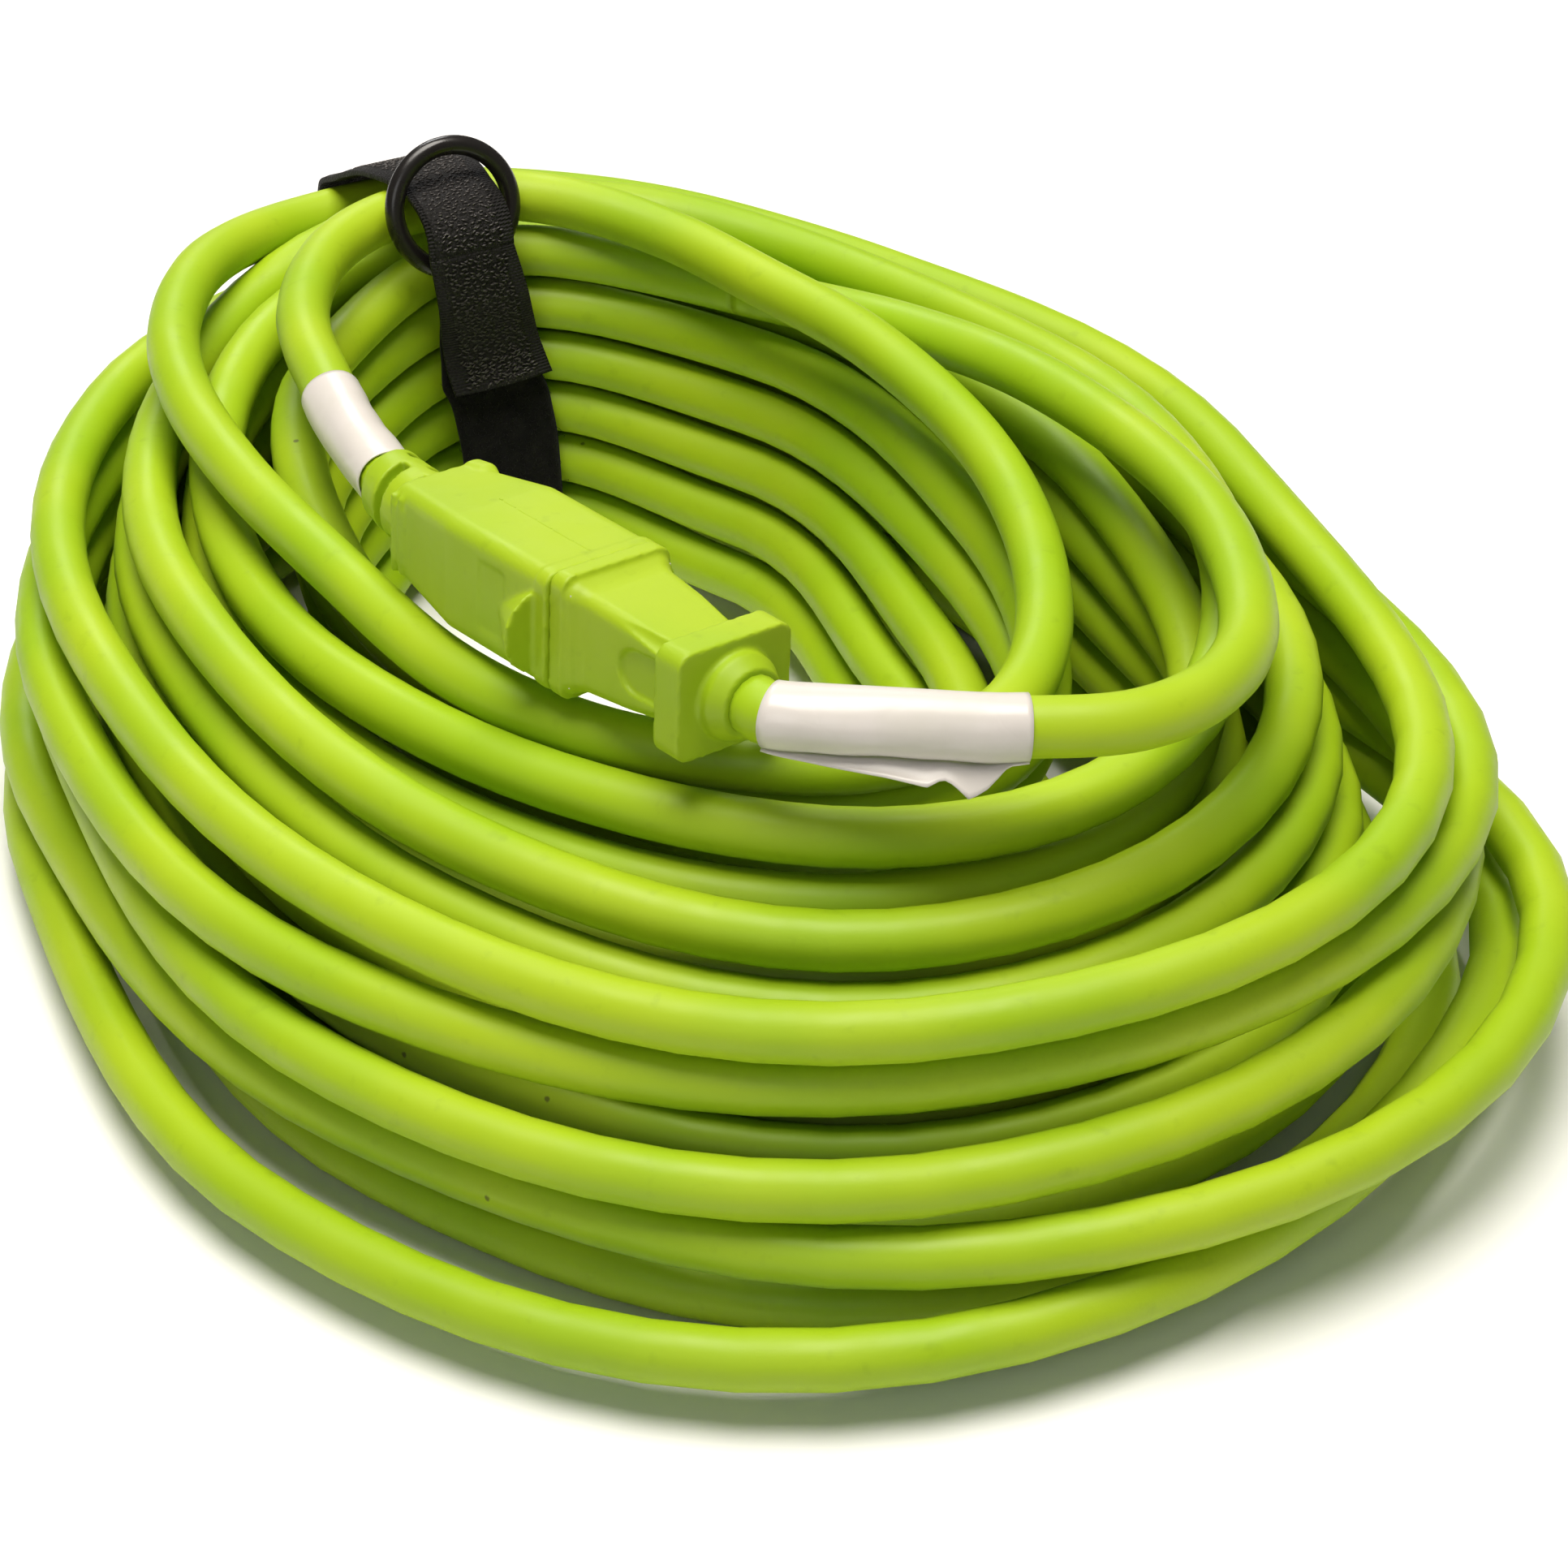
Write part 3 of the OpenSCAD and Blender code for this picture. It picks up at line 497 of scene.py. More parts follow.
def make_hook_weave():
    """Black woven hook tape: a coarse ground, finely ribbed selvedges, and a few painted glints."""
    material, tree, shader, place = new_material("hook_weave")
    along, across = split_uv(tree, place)
    where = place.outputs["Object"]
    ground_from, ground_to, sharpness = 0.0024, 0.0150, 2500
    pick_pitch, end_pitch = 0.00062, 0.0009
    # 1 in the middle of the tape, 0 on its two selvedges
    past = arithmetic(tree, "SUBTRACT", across, ground_from)
    short = arithmetic(tree, "SUBTRACT", ground_to, across)
    inside = arithmetic(tree, "MULTIPLY", arithmetic(tree, "MULTIPLY", past, sharpness, clamp=True),
                        arithmetic(tree, "MULTIPLY", short, sharpness, clamp=True), clamp=True)
    picks = arithmetic(tree, "SINE", arithmetic(tree, "MULTIPLY", along, 2 * pi / pick_pitch))
    ends = arithmetic(tree, "SINE", arithmetic(tree, "MULTIPLY_ADD", across, 2 * pi / end_pitch,
                                               arithmetic(tree, "MULTIPLY", along, pi / pick_pitch)))
    weave = arithmetic(tree, "MULTIPLY", picks, arithmetic(tree, "MULTIPLY_ADD", ends, 0.5, 0.6))
    rough_ground = add_noise(tree, where, 2200, 3.0, 0.7)
    cells = add(tree, "TexVoronoi", feature="F1")
    cells.inputs["Scale"].default_value = 1500
    join(tree, where, cells.inputs["Vector"])
    lumps = arithmetic(tree, "SUBTRACT", 1.0, cells.outputs["Distance"])
    middle = arithmetic(tree, "MULTIPLY_ADD", lumps, 1.3, rough_ground)
    height = add(tree, "Mix", data_type="FLOAT")
    join(tree, inside, height.inputs[0])
    join(tree, weave, height.inputs[2])
    join(tree, middle, height.inputs[3])
    set_bump(tree, shader, height.outputs[0], 1.0, 0.00035)
    tone = arithmetic(tree, "MULTIPLY_ADD", picks, 0.25, 0.4, clamp=True)
    colour = blend_colours(tree, tone, (0.003, 0.0026, 0.0025), (0.016, 0.014, 0.013))
    # painted glints: specks of lighter base colour stand in for light caught by the hooks; the same specks are
    # also less rough
    glint = arithmetic(tree, "GREATER_THAN", add_noise(tree, where, 3200, 1.0), 0.68)
    colour = blend_colours(tree, arithmetic(tree, "MULTIPLY", glint, inside), colour, (0.08, 0.075, 0.07))
    shader.inputs["Specular IOR Level"].default_value = 0.3
    join(tree, colour, shader.inputs["Base Color"])
    rough = arithmetic(tree, "MULTIPLY_ADD", glint, -0.35, 0.72)
    join(tree, rough, shader.inputs["Roughness"])
    return material


def make_loop_pile():
    """Black brushed loop tape: matte, with a soft nap and lighter stray loops."""
    material, tree, shader, place = new_material("loop_pile")
    where = place.outputs["Object"]
    nap = add_noise(tree, where, 1500, 4.0, 0.75)
    clump = add_noise(tree, where, 260, 2.0)
    tone = arithmetic(tree, "MULTIPLY", nap, clump)
    lift = add(tree, "MapRange")
    join(tree, tone, lift.inputs["Value"])
    lift.inputs["From Min"].default_value = 0.15
    lift.inputs["From Max"].default_value = 0.5
    join(tree, blend_colours(tree, lift.outputs["Result"], (0.0018, 0.0018, 0.0018), (0.009, 0.008, 0.008)),
         shader.inputs["Base Color"])
    shader.inputs["Roughness"].default_value = 0.95
    shader.inputs["Sheen Weight"].default_value = 0.04
    shader.inputs["Specular IOR Level"].default_value = 0.2
    set_bump(tree, shader, tone, 0.9, 0.0005)
    return material


def make_label_paper():
    """Glossy white label paper: creased, a little grubby, and yellowed in patches."""
    material, tree, shader, place = new_material("label_paper")
    where = place.outputs["Object"]
    stain = use_group(tree, MOTTLE, where, Scale=90.0, Detail=4.0, Low=0.45, High=0.75)
    colour = blend_colours(tree, arithmetic(tree, "MULTIPLY", stain, 0.5),
                           (0.66, 0.62, 0.58), (0.55, 0.53, 0.45))
    dirt = use_group(tree, SPECKS, where, Cells_per_metre=160.0, Size=0.035, Share=0.25)
    colour = blend_colours(tree, arithmetic(tree, "MULTIPLY", dirt, 0.5), colour, (0.12, 0.11, 0.09))
    join(tree, colour, shader.inputs["Base Color"])
    join(tree, arithmetic(tree, "MULTIPLY_ADD", stain, 0.2, 0.28), shader.inputs["Roughness"])
    warp = add_noise(tree, where, 60, 2.0)
    folds = add(tree, "TexVoronoi", feature="DISTANCE_TO_EDGE")
    folds.inputs["Scale"].default_value = 70
    shifted = add(tree, "VectorMath", operation="ADD")
    join(tree, where, shifted.inputs[0])
    spread = add(tree, "CombineXYZ")
    push = arithmetic(tree, "MULTIPLY", warp, 0.01)
    for socket in spread.inputs:
        join(tree, push, socket)
    join(tree, spread.outputs[0], shifted.inputs[1])
    join(tree, shifted.outputs[0], folds.inputs["Vector"])
    crease = arithmetic(tree, "MULTIPLY", arithmetic(tree, "MINIMUM", folds.outputs["Distance"], 0.08), 8)
    set_bump(tree, shader, arithmetic(tree, "MULTIPLY_ADD", warp, 0.7, crease), 0.14, 0.0003)
    return material


jacket = make_vinyl("lime_jacket", (0.290, 0.468, 0.005), (0.380, 0.528, 0.011), along_cord=True)
moulding = make_vinyl("lime_moulding", (0.285, 0.448, 0.005), (0.350, 0.486, 0.011), specks=0.02)
brass = make_metal("blade_brass", (0.80, 0.62, 0.30), 0.22)
spring_brass = make_metal("spring_brass", (0.72, 0.52, 0.24), 0.35)
bridge_nylon = make_plastic("bridge_nylon", (0.78, 0.77, 0.72), 0.5)
black_insulation = make_plastic("black_insulation", (0.012, 0.012, 0.012), 0.4)
white_insulation = make_plastic("white_insulation", (0.82, 0.81, 0.78), 0.4)
green_insulation = make_plastic("green_insulation", (0.02, 0.22, 0.05), 0.4)
ring_gloss = make_plastic("ring_gloss", (0.012, 0.010, 0.009), 0.2, 0.03)
hook_nylon = make_plastic("hook_nylon", (0.055, 0.049, 0.046), 0.3)
hook_weave = make_hook_weave()
loop_pile = make_loop_pile()
label_paper = make_label_paper()

# ---- the cord -----------------------------------------------------------------
plug_cord_mesh, plug_cord_length = round_cord("plug_cord", plug_line, PAIR_DIR, COIL_START)
middle_turns = coil[EASED_POINTS + 1:-EASED_POINTS - 1]
main_line = [*reversed(connector_line), *reversed(middle_turns), *reversed(coil_begin)]
main_cord_mesh, main_cord_length = round_cord("wound_cord", main_line, CONNECTOR_OUT, -COIL_START)
wound_cord = new_piece("wound_cord", main_cord_mesh, "bundle", jacket)
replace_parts(wound_cord, "cord_coil", "connector_lead")
plug_cord = new_piece("plug_cord", plug_cord_mesh, None, jacket)
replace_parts(plug_cord, "plug_lead")
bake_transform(plug_cord)

# ---- the solids that stay, with their finishes ---------------------------------
finishes = {
    "plug_line_blade": brass, "plug_neutral_blade": brass, "plug_ground_pin": brass,
    "connector_line_contact": spring_brass, "connector_neutral_contact": spring_brass,
    "connector_ground_contact": spring_brass, "plug_bridge": bridge_nylon,
    "connector_contact_block": bridge_nylon, "plug_line_wire": black_insulation,
    "plug_neutral_wire": white_insulation, "plug_ground_wire": green_insulation,
    "plug_overmould": moulding, "connector_overmould": moulding}
for name, finish in finishes.items():
    nodes[name].data.materials.clear()
    nodes[name].data.materials.append(finish)


# Shapes along the mated pair, in millimetres: +X to the plug, +Z up when the pair lies flat.
def shape_through(rings):
    """A closed solid through rings of points that all have the same count."""
    bm = bmesh.new()
    roll_tube(bm, [[PAIR @ (Vector(p) * MM) for p in ring] for ring in rings], False)
    return closed_mesh(bm, "shape")


def oblong(x, width, height, radius, y=0.0, z=0.0):
    """A ring round the X axis: an oblong with round corners."""
    ring = []
    for k in range(24):
        a = 15 * k + 7.5
        sy, sz = (1 if cosd(a) > 0 else -1), (1 if sind(a) > 0 else -1)
        ring.append((x, y + sy * (width / 2 - radius) + radius * cosd(a),
                     z + sz * (height / 2 - radius) + radius * sind(a)))
    return ring


def lofted(*sections):
    """A solid through oblongs: place, width, height, corner radius and sideways places of each."""
    return shape_through([oblong(*section) for section in sections])


def stick(a, ra, b, rb):
    """A straight rod with a radius at each end, mostly along X."""
    return shape_through([[(p[0], p[1] + r * cosd(20 * k), p[2] + r * sind(20 * k)) for k in range(18)]
                          for p, r in ((a, ra), (b, rb))])


def half_slot(x, width, first, last, inner=3.9, outer=9.0):
    """The cutter for a bending slot: part of a ring round X between two angles."""
    rings = []
    steps = ceil((last - first) / 10)
    for k in range(steps + 1):
        a = first + (last - first) * k / steps
        rings.append([(px, r * cosd(a), r * sind(a)) for px, r in (
            (x, inner), (x + width, inner), (x + width, outer), (x, outer))])
    return shape_through(rings)


def joined(*meshes):
    bm = bmesh.new()
    for mesh in meshes:
        bm.from_mesh(mesh)
    return finished(bm, "shape")


def sewn(node, name):
    """A copy of a solid's mesh with its faces sewn together."""
    bm = bmesh.new()
    bm.from_mesh(nodes[node].data)
    bmesh.ops.remove_doubles(bm, verts=bm.verts, dist=1e-6)
    return finished(bm, name)


def bend_relief(mesh):
    """Turns what lies in the connector's strain relief towards the cord."""
    back = PAIR.inverted()
    for vertex in mesh.vertices:
        p = back @ vertex.co
        if p.x < -RELIEF_FROM * MM:
            p.y += RELIEF_BEND * (p.x / MM + RELIEF_FROM) ** 2 * MM
            vertex.co = PAIR @ p


def soft_moulding(name, node, body, voxel, within, more, less):
    """A moulded body with soft edges: what is within a shape of a solid, with some added and some cut."""
    piece = bpy.data.objects.new(name, sewn(node, name))
    scene.collection.objects.link(piece)
    helpers = []

    def even():
        remesh = piece.modifiers.new("even", "REMESH")
        remesh.mode = "VOXEL"
        remesh.voxel_size = voxel

    def cut(operation, mesh):
        helper = bpy.data.objects.new("helper", mesh)
        scene.collection.objects.link(helper)
        helpers.append(helper)
        change = piece.modifiers.new(operation.lower(), "BOOLEAN")
        change.operation = operation
        change.object = helper
        change.solver = "EXACT"

    def bake():
        bpy.context.view_layer.update()
        done = bpy.data.meshes.new_from_object(piece.evaluated_get(bpy.context.evaluated_depsgraph_get()))
        piece.modifiers.clear()
        piece.data = done
        return done

    cut("INTERSECT", within)
    bake()
    piece.data = joined(piece.data, *more)
    even()
    for mesh in less:
        cut("DIFFERENCE", mesh)
    even()
    settle = piece.modifiers.new("soften", "SMOOTH")
    settle.factor = 0.5
    settle.iterations = 2
    done = bake()
    for helper in helpers:
        bpy.data.objects.remove(helper)
    bend_relief(done)
    for face in done.polygons:
        face.use_smooth = True
    done.materials.clear()
    done.materials.append(moulding)
    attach(piece, body)
    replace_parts(piece, node)
    return piece


plug_less = []
for sy in (-1, 1):
    # thumb recess, open towards the rear flange
    thumb = 3.6
    outline = [(17 - thumb * cosd(a), thumb * sind(a)) for a in range(-90, 91, 15)]
    outline += [(24.3, thumb), (24.3, -thumb)]
    plug_less.append(shape_through([[(x, sy * (8.25 - (x - 6.2) * 0.057 + out), z) for x, z in outline]
                                    for out in (-0.85, 3)]))
    for sz in (-1, 1):
        # scooped finger grip along an edge
        plug_less.append(stick((9.5, sy * 8.3, sz * 8), 0.8, (24.2, sy * 7.9, sz * 7), 3))
plug_within = lofted(
    (-1, 20.2, 20, 2.4), (3, 20.2, 20, 2.4), (3.05, 19.4, 18.4, 2.6), (4.1, 18.9, 17.3, 2.5),
    (4.9, 17.5, 16.6, 2.3), (6.2, 16.6, 16, 2.1), (24.45, 14.4, 12.7, 2), (24.5, 30, 30, 2), (36, 30, 30, 2))
plug_body = soft_moulding("plug_body", "plug_overmould", "plug", 0.3 * MM, plug_within, (), plug_less)

# the relief filled round its wires, the bump on the neck, the lugs by the seam and the ribs
connector_more = [stick((-RELIEF_TO, 0, 0), 5.97, (-39.5, 0, 0), 6.7),
                  lofted((-41.9, 2, 3, 0.8, 6.6, 5.9), (-40.9, 3.4, 4, 1.2, 6.8, 6.1),
                         (-37.4, 3.4, 4, 1.2, 7, 6.5), (-35.4, 1.8, 2, 0.8, 7.2, 6.6))]
for sy in (-1, 1):
    connector_more.append(stick((-11.5, sy * 8.6, -0.6), 1.75, (-2.6, sy * 9.2, -0.6), 7))
    for x in (-41.35, -39.45):
        connector_more.append(lofted((x, 1.6, 13, 0.5, sy * 7.7), (x + 0.8, 1.6, 13, 0.5, sy * 7.75)))
bending_slots = [half_slot(-53.3, 2, 210, 430), half_slot(-50, 2.4, 92, 240),
                 half_slot(-46.6, 2.1, 210, 430), half_slot(-43.6, 1.7, 95, 240)]
connector_body = soft_moulding(
    "connector_body", "connector_overmould", "bundle", 0.35 * MM,
    lofted((-RELIEF_TO, 40, 40, 2), (1, 40, 40, 2)), connector_more, bending_slots)
for leg, colour, finish in (("line", "black", black_insulation), ("neutral", "white", white_insulation),
                            ("ground", "green", green_insulation)):
    name = "bent_" + leg + "_wire"
    core = sewn("connector_" + leg + "_wire", name)
    core.materials.clear()
    bend_relief(core)
    bent = new_piece(name, core, "bundle", finish)
    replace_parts(bent, "connector_" + leg + "_wire")
# the broken line that the mould's two halves leave along the top
line_parts = [lofted((x, 0.3, 0.2, 0.09, y, 9.27), (x + size, 0.3, 0.2, 0.09, y, 9.27))
              for x, size, y in ((-25.2, 0.7, 0.1), (-23.9, 2.6, 0.05), (-20.6, 4.4, 0),
                                 (-15.6, 3.2, -0.05), (-11.8, 4.6, -0.05), (-6.7, 3.4, 0))]
new_piece("mould_line", joined(*line_parts), "bundle", moulding)

# ---- tapes and labels: sheets with a thickness ----------------------------------
def grid_normals(rows):
    """The direction that a sheet faces at each point of its rows."""
    last, end = len(rows) - 1, len(rows[0]) - 1
    return [[(rows[min(i + 1, last)][j] - rows[max(i - 1, 0)][j]).cross(
        rows[i][min(j + 1, end)] - rows[i][max(j - 1, 0)]).normalized()
        for j in range(end + 1)] for i in range(last + 1)]


def sheet_mesh(name, rows, thickness, thin_edge=1, thin_start=True):
    """A closed thin solid about rows of points, its UV map in metres along and across."""
    bm = bmesh.new()
    uv = bm.loops.layers.uv.new("length")
    normals = grid_normals(rows)
    last, end = len(rows) - 1, len(rows[0]) - 1
    far = [0.0]
    for a, b in zip(rows, rows[1:]):
        far.append(far[-1] + (b[end // 2] - a[end // 2]).length)
    wide = [[0.0] for _ in rows]
    for i, row in enumerate(rows):
        for a, b in zip(row, row[1:]):
            wide[i].append(wide[i][-1] + (b - a).length)
    bmesh.ops.create_grid(bm, x_segments=end, y_segments=last, size=1)
    raised = bmesh.ops.extrude_face_region(bm, geom=bm.faces[:], use_keep_orig=True)["geom"]
    raised = {v for v in raised if isinstance(v, bmesh.types.BMVert)}
    cells = {v: row_and_column(v, last, end) for v in bm.verts}
    for face in bm.faces:
        face.smooth = True
        for loop in face.loops:
            i, j = cells[loop.vert]
            loop[uv].uv = (far[i], wide[i][j])
    for v, (i, j) in cells.items():
        thin = thin_edge if j in (0, end) or i == last or (i == 0 and thin_start) else 1
        v.co = rows[i][j] + normals[i][j] * (0.5 if v in raised else -0.5) * thickness * thin
    bmesh.ops.recalc_face_normals(bm, faces=bm.faces)
    if bm.calc_volume(signed=True) < 0:
        bmesh.ops.reverse_faces(bm, faces=bm.faces)
    return finished(bm, name)


STRAP_OUT = Vector((0.0547931, 0.998498, 0))
STRAP_SIDE = Vector((-0.998498, 0.0547931, 0))
HOOK_TAPE = 1.3
LOOP_TAPE = 1.15
TAPE_STEP = 0.8


def at_strap(out, side, z):
    """A point by the strap: outward through the bundle, sideways and up."""
    return mm(7.954, 108.946, z) + (out * STRAP_OUT + side * STRAP_SIDE) * MM


def tape_rows(path, width, columns):
    """Rows of points across a tape. The path holds outward, up and sideways places."""
    rows = []
    line = even_line(smooth_line([Vector(p) for p in path], 8), TAPE_STEP)
    far = 0.0
    for k, p in enumerate(line):
        if k:
            far += (p - line[k - 1]).length
        w = width(far)
        rows.append([(p.x, p.z + w * (j / columns - 0.5), p.y) for j in range(columns + 1)])
    return rows


def slant(z):
    """How far the tape has moved sideways by a height, down the inside of the bundle."""
    return min(-5.6 * clip((54 - z) / 16) - 0.9 * clip((38 - z) / 8), -3 - 0.08 * (57 - z))


# outward places of the tapes' middles, and the ring's bar in its eye
IN_X, OUT_X, HOOK_X, TAB_X = -7.35, 35.921, 37.221, -14.45
BAR_X, BAR_Z, EYE_X, FOLD_X = -10.1, 64.9, -12.85, -8.55
inner_run = [(IN_X + x, z, slant(z)) for x, z in (
    (0, 57), (-0.1, 50), (-1.4, 46), (-2.5, 42), (-3.1, 38), (-4.2, 33), (-4.8, 29), (-5.5, 24),
    (-6.3, 16), (-6.6, 7), (-5.1, 3), (-2.9, 1.4))]
outer_run = [(OUT_X - 3.2, 1.4, 0), (OUT_X - 1.2, 3, 0), (OUT_X, 6, 0), (OUT_X, 20, 0), (OUT_X, 35, 0),
             (OUT_X, 50, 0)]
eye_run = [(IN_X, 57), (IN_X, 66), (IN_X - 0.5, 67.1), (BAR_X + 1.6, 68.2), (BAR_X, 68.4),
           (BAR_X - 1.6, 68.2), (EYE_X + 0.5, 67.1), (EYE_X, 65.9), (EYE_X, 63.9), (EYE_X + 0.5, 61.9),
           (FOLD_X, 57.5), (FOLD_X, 50.5)]
eye_run = [(*p, 0) for p in eye_run]
crest_run = [(TAB_X, 70.12), (TAB_X + 0.3, 73), (TAB_X + 1.6, 75.4), (TAB_X + 4, 77), (TAB_X + 7.4, 77.9),
             (-2, 78.3), (3, 77.8), (8, 76.6), (13, 75), (18, 72.8), (23, 70.2), (28.4, 67),
             (HOOK_X - 2.4, 63.4), (HOOK_X - 0.5, 57.5), (HOOK_X, 52), (HOOK_X, 46), (HOOK_X, 24)]
crest_run = [(*p, 0) for p in crest_run]
tab_run = [(TAB_X, 70.1), (-14.35, 66), (-14.2, 63), (-13.9, 60), (-13.1, 57), (-12.1, 54), (-10.95, 50),
           (-10.75, 46.5), (-11.2, 44), (-12, 42)]
tab_run = [(out, z, 0.2 * (z - 70)) for out, z in tab_run]


def placed(rows):
    return [[at_strap(*p) for p in row] for row in rows]


def strap_piece(name, rows, thickness, body, finish, node, thin_start=True):
    """A tape in place of a strap's solid, with thin selvedges."""
    mesh = sheet_mesh(name, placed(rows), thickness * MM, 0.7, thin_start)
    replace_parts(new_piece(name, mesh, body, finish), node)


def loop_width(far):
    return 12.6 + 5.8 * clip(far / 16)


def crest_width(far):
    return 15.6 + 2.8 * clip((far - 14) / 14)


def tab_width(far):
    return 15.6 + 2.9 * clip(far / 26)


# a tape's grid has this many columns
COLUMNS = 14
strap_piece("loop_tape", tape_rows(inner_run + outer_run, loop_width, COLUMNS), LOOP_TAPE, "bundle",
            loop_pile, "strap_loop_tape")
strap_piece("eye_tape", tape_rows(eye_run, lambda far: 7.9, 8), LOOP_TAPE, "bundle",
            loop_pile, "strap_loop_tape")
crest_rows = tape_rows(crest_run, crest_width, COLUMNS)
strap_piece("crest_tape", crest_rows, HOOK_TAPE, "bundle", hook_weave, "strap_hook_tape", False)
tab_rows = tape_rows(tab_run, tab_width, COLUMNS)
# the free end curls away from the tape behind it, and was not cut quite square
for i, row in enumerate(tab_rows):
    down = i / (len(tab_rows) - 1)
    tab_rows[i] = [(out - 0.9 * down ** 4 - 0.35 * down * cos((j - 6) * 0.3), side,
                    z - 0.8 * down ** 6 * j / COLUMNS) for j, (out, side, z) in enumerate(row)]
strap_piece("tab_tape", tab_rows, HOOK_TAPE, "tab", hook_weave, "strap_tab", False)


def tiny_tube(bm, points, radius, sides=4):
    """A closed thin tube along a few points, for hooks and fibres."""
    roll_tube(bm, round_rings(line_frames(points), radius, sides), True)


def scatter_piece(name, rows, columns, body, finish, make_one, rng, lift, share):
    """Small bent threads standing on one face of a tape, on a share of the cells of its grid."""
    grid = placed(rows)
    normals = grid_normals(grid)
    bm = bmesh.new()
    for i in range(1, len(grid) - 2):
        for j in columns:
            f, g = rng.random(), rng.random()
            if rng.random() > share:
                continue
            p = grid[i][j].lerp(grid[i][j + 1], f).lerp(grid[i + 1][j].lerp(grid[i + 1][j + 1], f), g)
            along = (grid[i + 1][j] - grid[i][j]).normalized()
            across = (grid[i][j + 1] - grid[i][j]).normalized()
            n = normals[i][j] * (1 if lift > 0 else -1)
            make_one(bm, p + n * abs(lift) * MM, n, along, across, rng)
    new_piece(name, closed_mesh(bm, name), body, finish)


def one_hook(bm, p, n, along, across, rng):
    """A small hook that stands up and bends over."""
    lean = (across * (1 if rng.random() < 0.5 else -1) + along * (rng.random() - 0.5)) * MM
    tall = 0.3 + 0.2 * rng.random()
    tiny_tube(bm, [p - n * 0.15 * MM, p + n * tall * MM, p + n * (tall + 0.2) * MM + lean * 0.2,
                   p + n * tall * 0.8 * MM + lean * 0.45], 0.09 * MM)


def one_knot(bm, p, n, along, across, rng):
    """One raised pick of the coarse ground, a short thread that dips into the tape at both ends."""
    way = (across + along * (rng.random() - 0.5) * 1.2) * MM
    size = 0.32 + 0.12 * rng.random()
    tiny_tube(bm, [p - way * size - n * 0.12 * MM, p - way * size * 0.45 + n * 0.12 * MM,
                   p + way * size * 0.45 + n * 0.12 * MM, p + way * size - n * 0.12 * MM], 0.15 * MM)


def one_fibre(bm, p, n, along, across, rng):
    """A stray loop of the pile."""
    turn = rng.random() * 2 * pi
    flat = (along * cos(turn) + across * sin(turn)) * MM
    wide = (across * cos(turn) - along * sin(turn)) * MM
    reach = 0.6 + 0.9 * rng.random()
    tiny_tube(bm, [p - n * 0.1 * MM, p + n * 0.3 * MM + flat * 0.3 * reach,
                   p + n * 0.42 * MM + flat * 0.7 * reach + wide * 0.3,
                   p + n * 0.25 * MM + flat * 0.9 * reach + wide * 0.7,
                   p + n * 0.02 * MM + flat * 0.7 * reach + wide], 0.04 * MM, 3)


ground = range(2, COLUMNS - 2)
scatter_piece("hooks_on_tab", tab_rows[8:], ground, "tab", hook_nylon, one_hook,
              Random(5), HOOK_TAPE / 2, 0.5)
scatter_piece("knots_on_tab", tab_rows, ground, "tab", hook_nylon, one_knot,
              Random(8), -HOOK_TAPE / 2, 1)
scatter_piece("knots_by_edge", tab_rows[-9:], ground, "tab", hook_nylon, one_knot,
              Random(4), -HOOK_TAPE / 2 - 0.06, 1)
scatter_piece("knots_on_crest", crest_rows[:62], ground, "bundle", hook_nylon, one_knot,
              Random(9), HOOK_TAPE / 2, 1)
scatter_piece("loop_fibres", tape_rows(inner_run[:9], loop_width, COLUMNS), range(COLUMNS), "bundle",
              loop_pile, one_fibre, Random(7), -LOOP_TAPE / 2, 0.8)

# ---- the ring ----------------------------------------------------------------------
RING_RADIUS, BAR_DEEP, BAR_WIDE = 10.8 * MM, 1.62 * MM, 1.7 * MM
ring_place = (Matrix.Translation(at_strap(BAR_X, 0, BAR_Z)) @ Matrix.Rotation(radians(86.859), 4, "Z")
              @ Matrix.Rotation(radians(18), 4, "Y") @ Matrix.Translation((0, 0, RING_RADIUS)))
bm = bmesh.new()
# a thick bar, a little flatter on its two faces
bar = [bm.verts.new((BAR_DEEP * sind(15 * k), 0, RING_RADIUS + BAR_WIDE * cosd(15 * k))) for k in range(24)]
edges = [bm.edges.new((bar[k], bar[(k + 1) % 24])) for k in range(24)]
bmesh.ops.spin(bm, geom=bar + edges, cent=(0, 0, 0), axis=(1, 0, 0), angle=2 * pi, steps=96, use_merge=True,
               use_duplicate=False)
for face in bm.faces:
    face.smooth = True
bm.transform(ring_place)
gloss_ring = new_piece("gloss_ring", closed_mesh(bm, "gloss_ring"), "ring", ring_gloss)
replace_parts(gloss_ring, "hanging_ring")


# ---- paper labels ------------------------------------------------------------------
LABEL_STEP = 0.8
LABEL_RADIUS = 4.86
LABEL_THICKNESS = 0.22 * MM
FLAP_FROM = 4.75


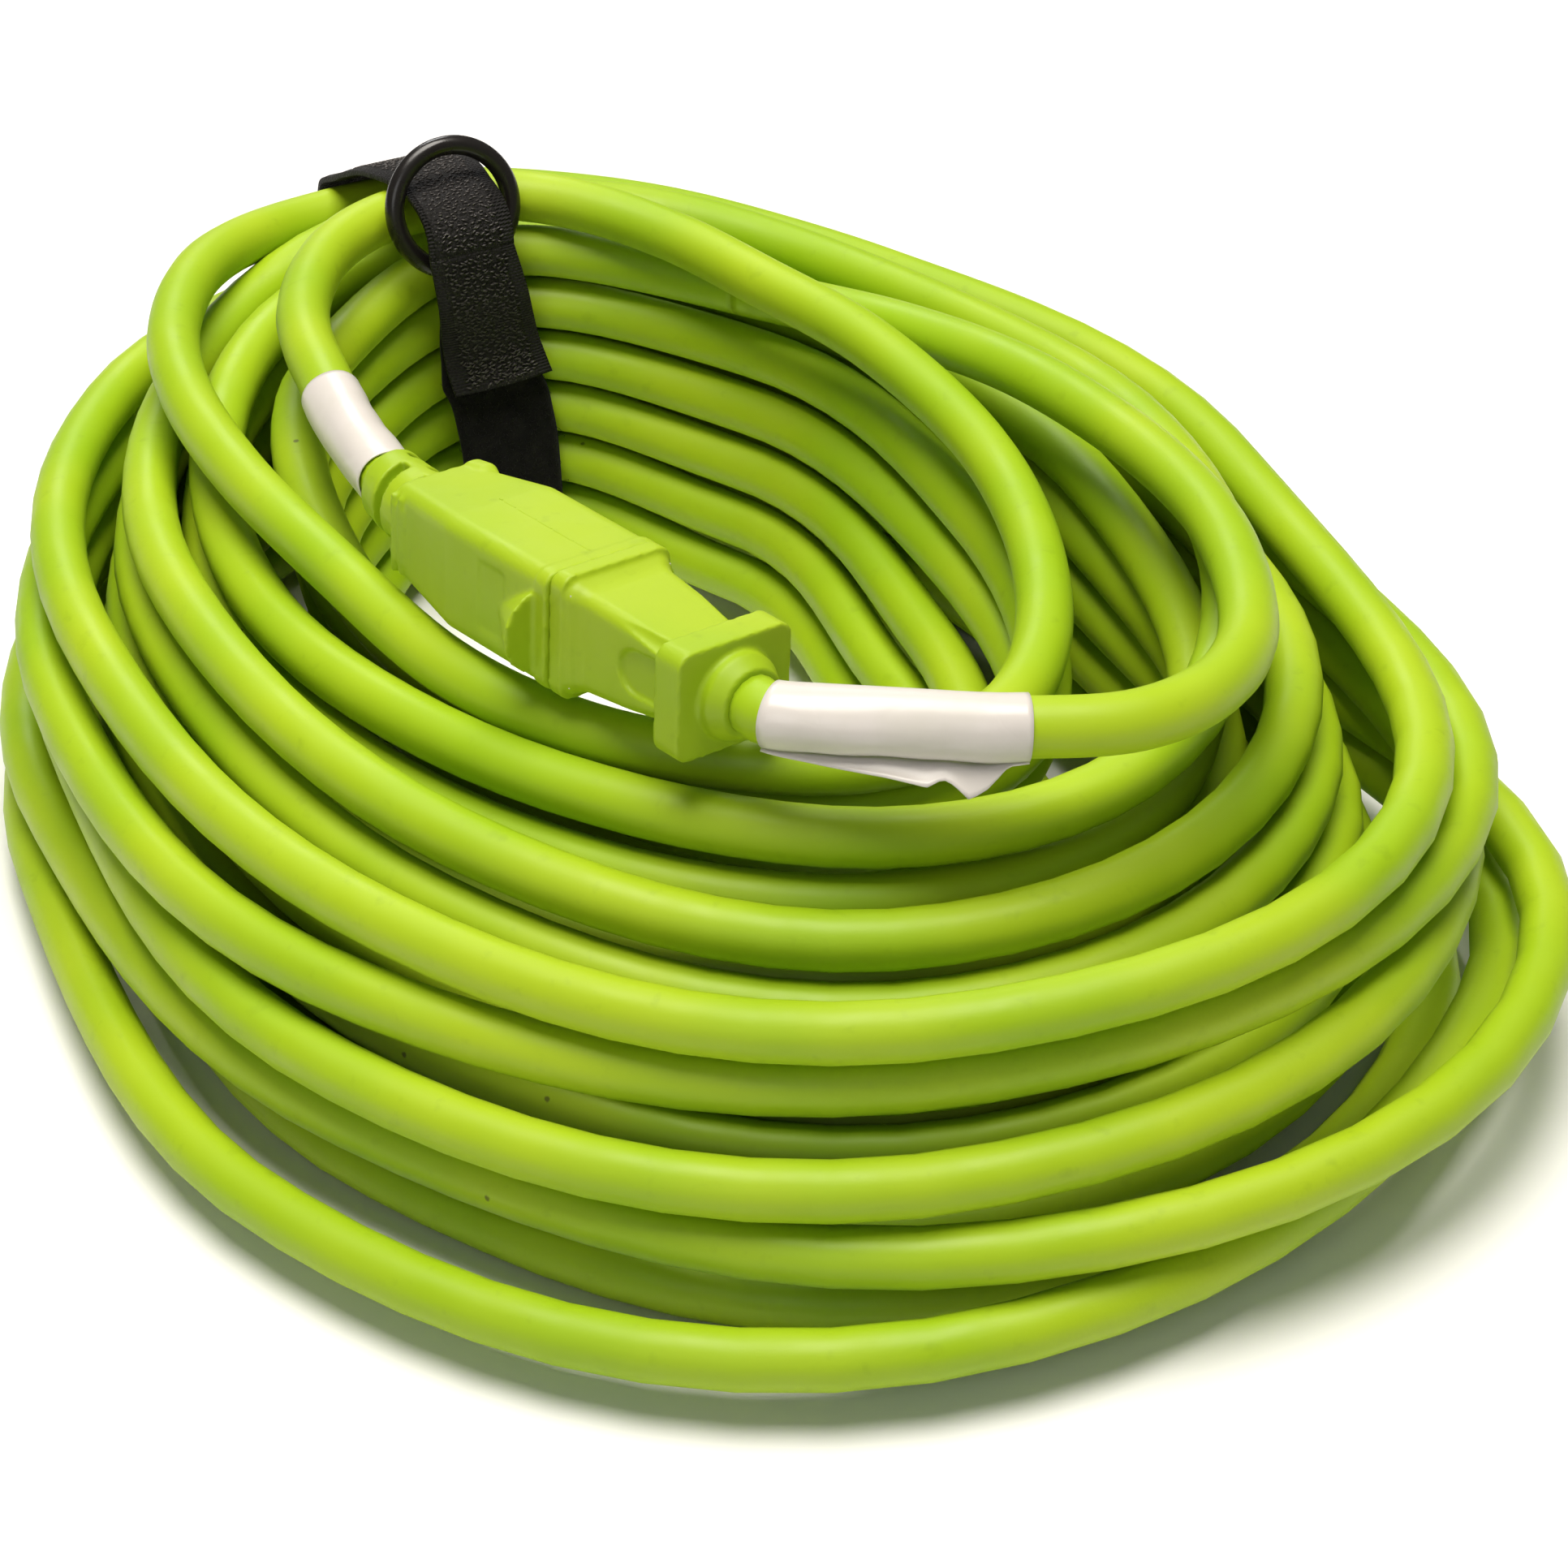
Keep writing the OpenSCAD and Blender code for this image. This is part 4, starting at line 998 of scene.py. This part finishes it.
def label_piece(name, line, first, last, start, stop, seam, flap, body, node):
    """A label wrapped round the cord between two distances, its ends stuck back to back in a flap."""
    frames = line_frames(even_line(line, LABEL_STEP * MM), first, last)
    rows = []
    for i, (p, _, side, up) in enumerate(frames):
        s = i * LABEL_STEP
        if not start <= s <= stop:
            continue
        t = (s - start) / (stop - start)
        row = []
        swell = 0.1 * sin(9 * t) + 0.07 * sin(23 * t + 1)
        for k in range(41):
            a = radians(seam + 6 + 348 * k / 40)
            r = (LABEL_RADIUS + 0.12 * sin(3 * a + 5 * t) + swell * (0.5 + 0.5 * cos(a - radians(seam)))) * MM
            row.append(p + r * (cos(a) * side + sin(a) * up))
        out = cosd(seam) * side + sind(seam) * up
        turn = -sind(seam) * side + cosd(seam) * up
        deep = max(flap(t), 0.4)
        for k in range(1, 7):
            bend = 0.25 * sin(6 * t + k * 0.5)
            row.append(p + (FLAP_FROM + deep * k / 6) * MM * out
                       + (bend * k / 6 + 0.35 * deep * (k / 6) ** 2 * sin(4 * t)) * MM * turn)
        rows.append(row)
    piece = new_piece(name, sheet_mesh(name, rows, LABEL_THICKNESS), body, label_paper)
    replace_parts(piece, node)
    return piece


def plug_flap(t):
    """The torn flap: narrow by the plug, widest three quarters along, with a notch."""
    places = ((0, 0.6), (0.2, 1.7), (0.45, 3.0), (0.62, 4.2), (0.68, 2.9), (0.72, 3.6), (0.78, 5.6),
              (0.84, 4.2), (0.92, 0.8), (1, 0.4))
    for (a, x), (b, y) in zip(places, places[1:]):
        if t <= b:
            return x + (y - x) * (t - a) / (b - a)
    return 0.4


def connector_flap(t):
    """A narrow flap that soon ends."""
    return 0.4 + 1.5 * clip(1 - t / 0.3)


plug_paper = label_piece("plug_paper", plug_line, PAIR_DIR, COIL_START, 4, 40, -48, plug_flap,
                         "plug", "plug_label")
connector_paper = label_piece("connector_paper", list(reversed(connector_line)), CONNECTOR_OUT, -COIL_STOP,
                              1.2, 30.5, -20, connector_flap, "bundle", "connector_label")

# ---- floor and light -------------------------------------------------------------
bm = bmesh.new()
bmesh.ops.create_grid(bm, x_segments=1, y_segments=1, size=6)
paper, _, shader, _ = new_material("paper_floor")
shader.inputs["Base Color"].default_value = (0.88, 0.88, 0.88, 1)
shader.inputs["Roughness"].default_value = 0.9
new_piece("floor", finished(bm, "floor"), material=paper)


def soft_light(name, where, size, power, colour=(1, 1, 1)):
    """A round lamp that faces the bundle."""
    lamp = bpy.data.lights.new(name, "AREA")
    lamp.shape = "DISK"
    lamp.size = size
    lamp.energy = power
    lamp.color = colour
    light = bpy.data.objects.new(name, lamp)
    scene.collection.objects.link(light)
    light.location = where
    light.rotation_euler = (Vector((0, 0, 0.03)) - Vector(where)).to_track_quat("-Z", "Y").to_euler()


soft_light("key", (-0.02, 0.0, 1.3), 0.95, 24, (1, 0.95, 0.87))
soft_light("fill", (-0.9, -0.9, 0.8), 0.8, 2.6)
soft_light("back", (0.35, 1.2, 0.9), 0.6, 5)
world = bpy.data.worlds.new("studio")
scene.world = world
world.use_nodes = True
world.node_tree.nodes["Background"].inputs["Color"].default_value = (1, 1, 1, 1)
world.node_tree.nodes["Background"].inputs["Strength"].default_value = 0.12
scene.view_settings.view_transform = "Standard"
scene.view_settings.look = "None"
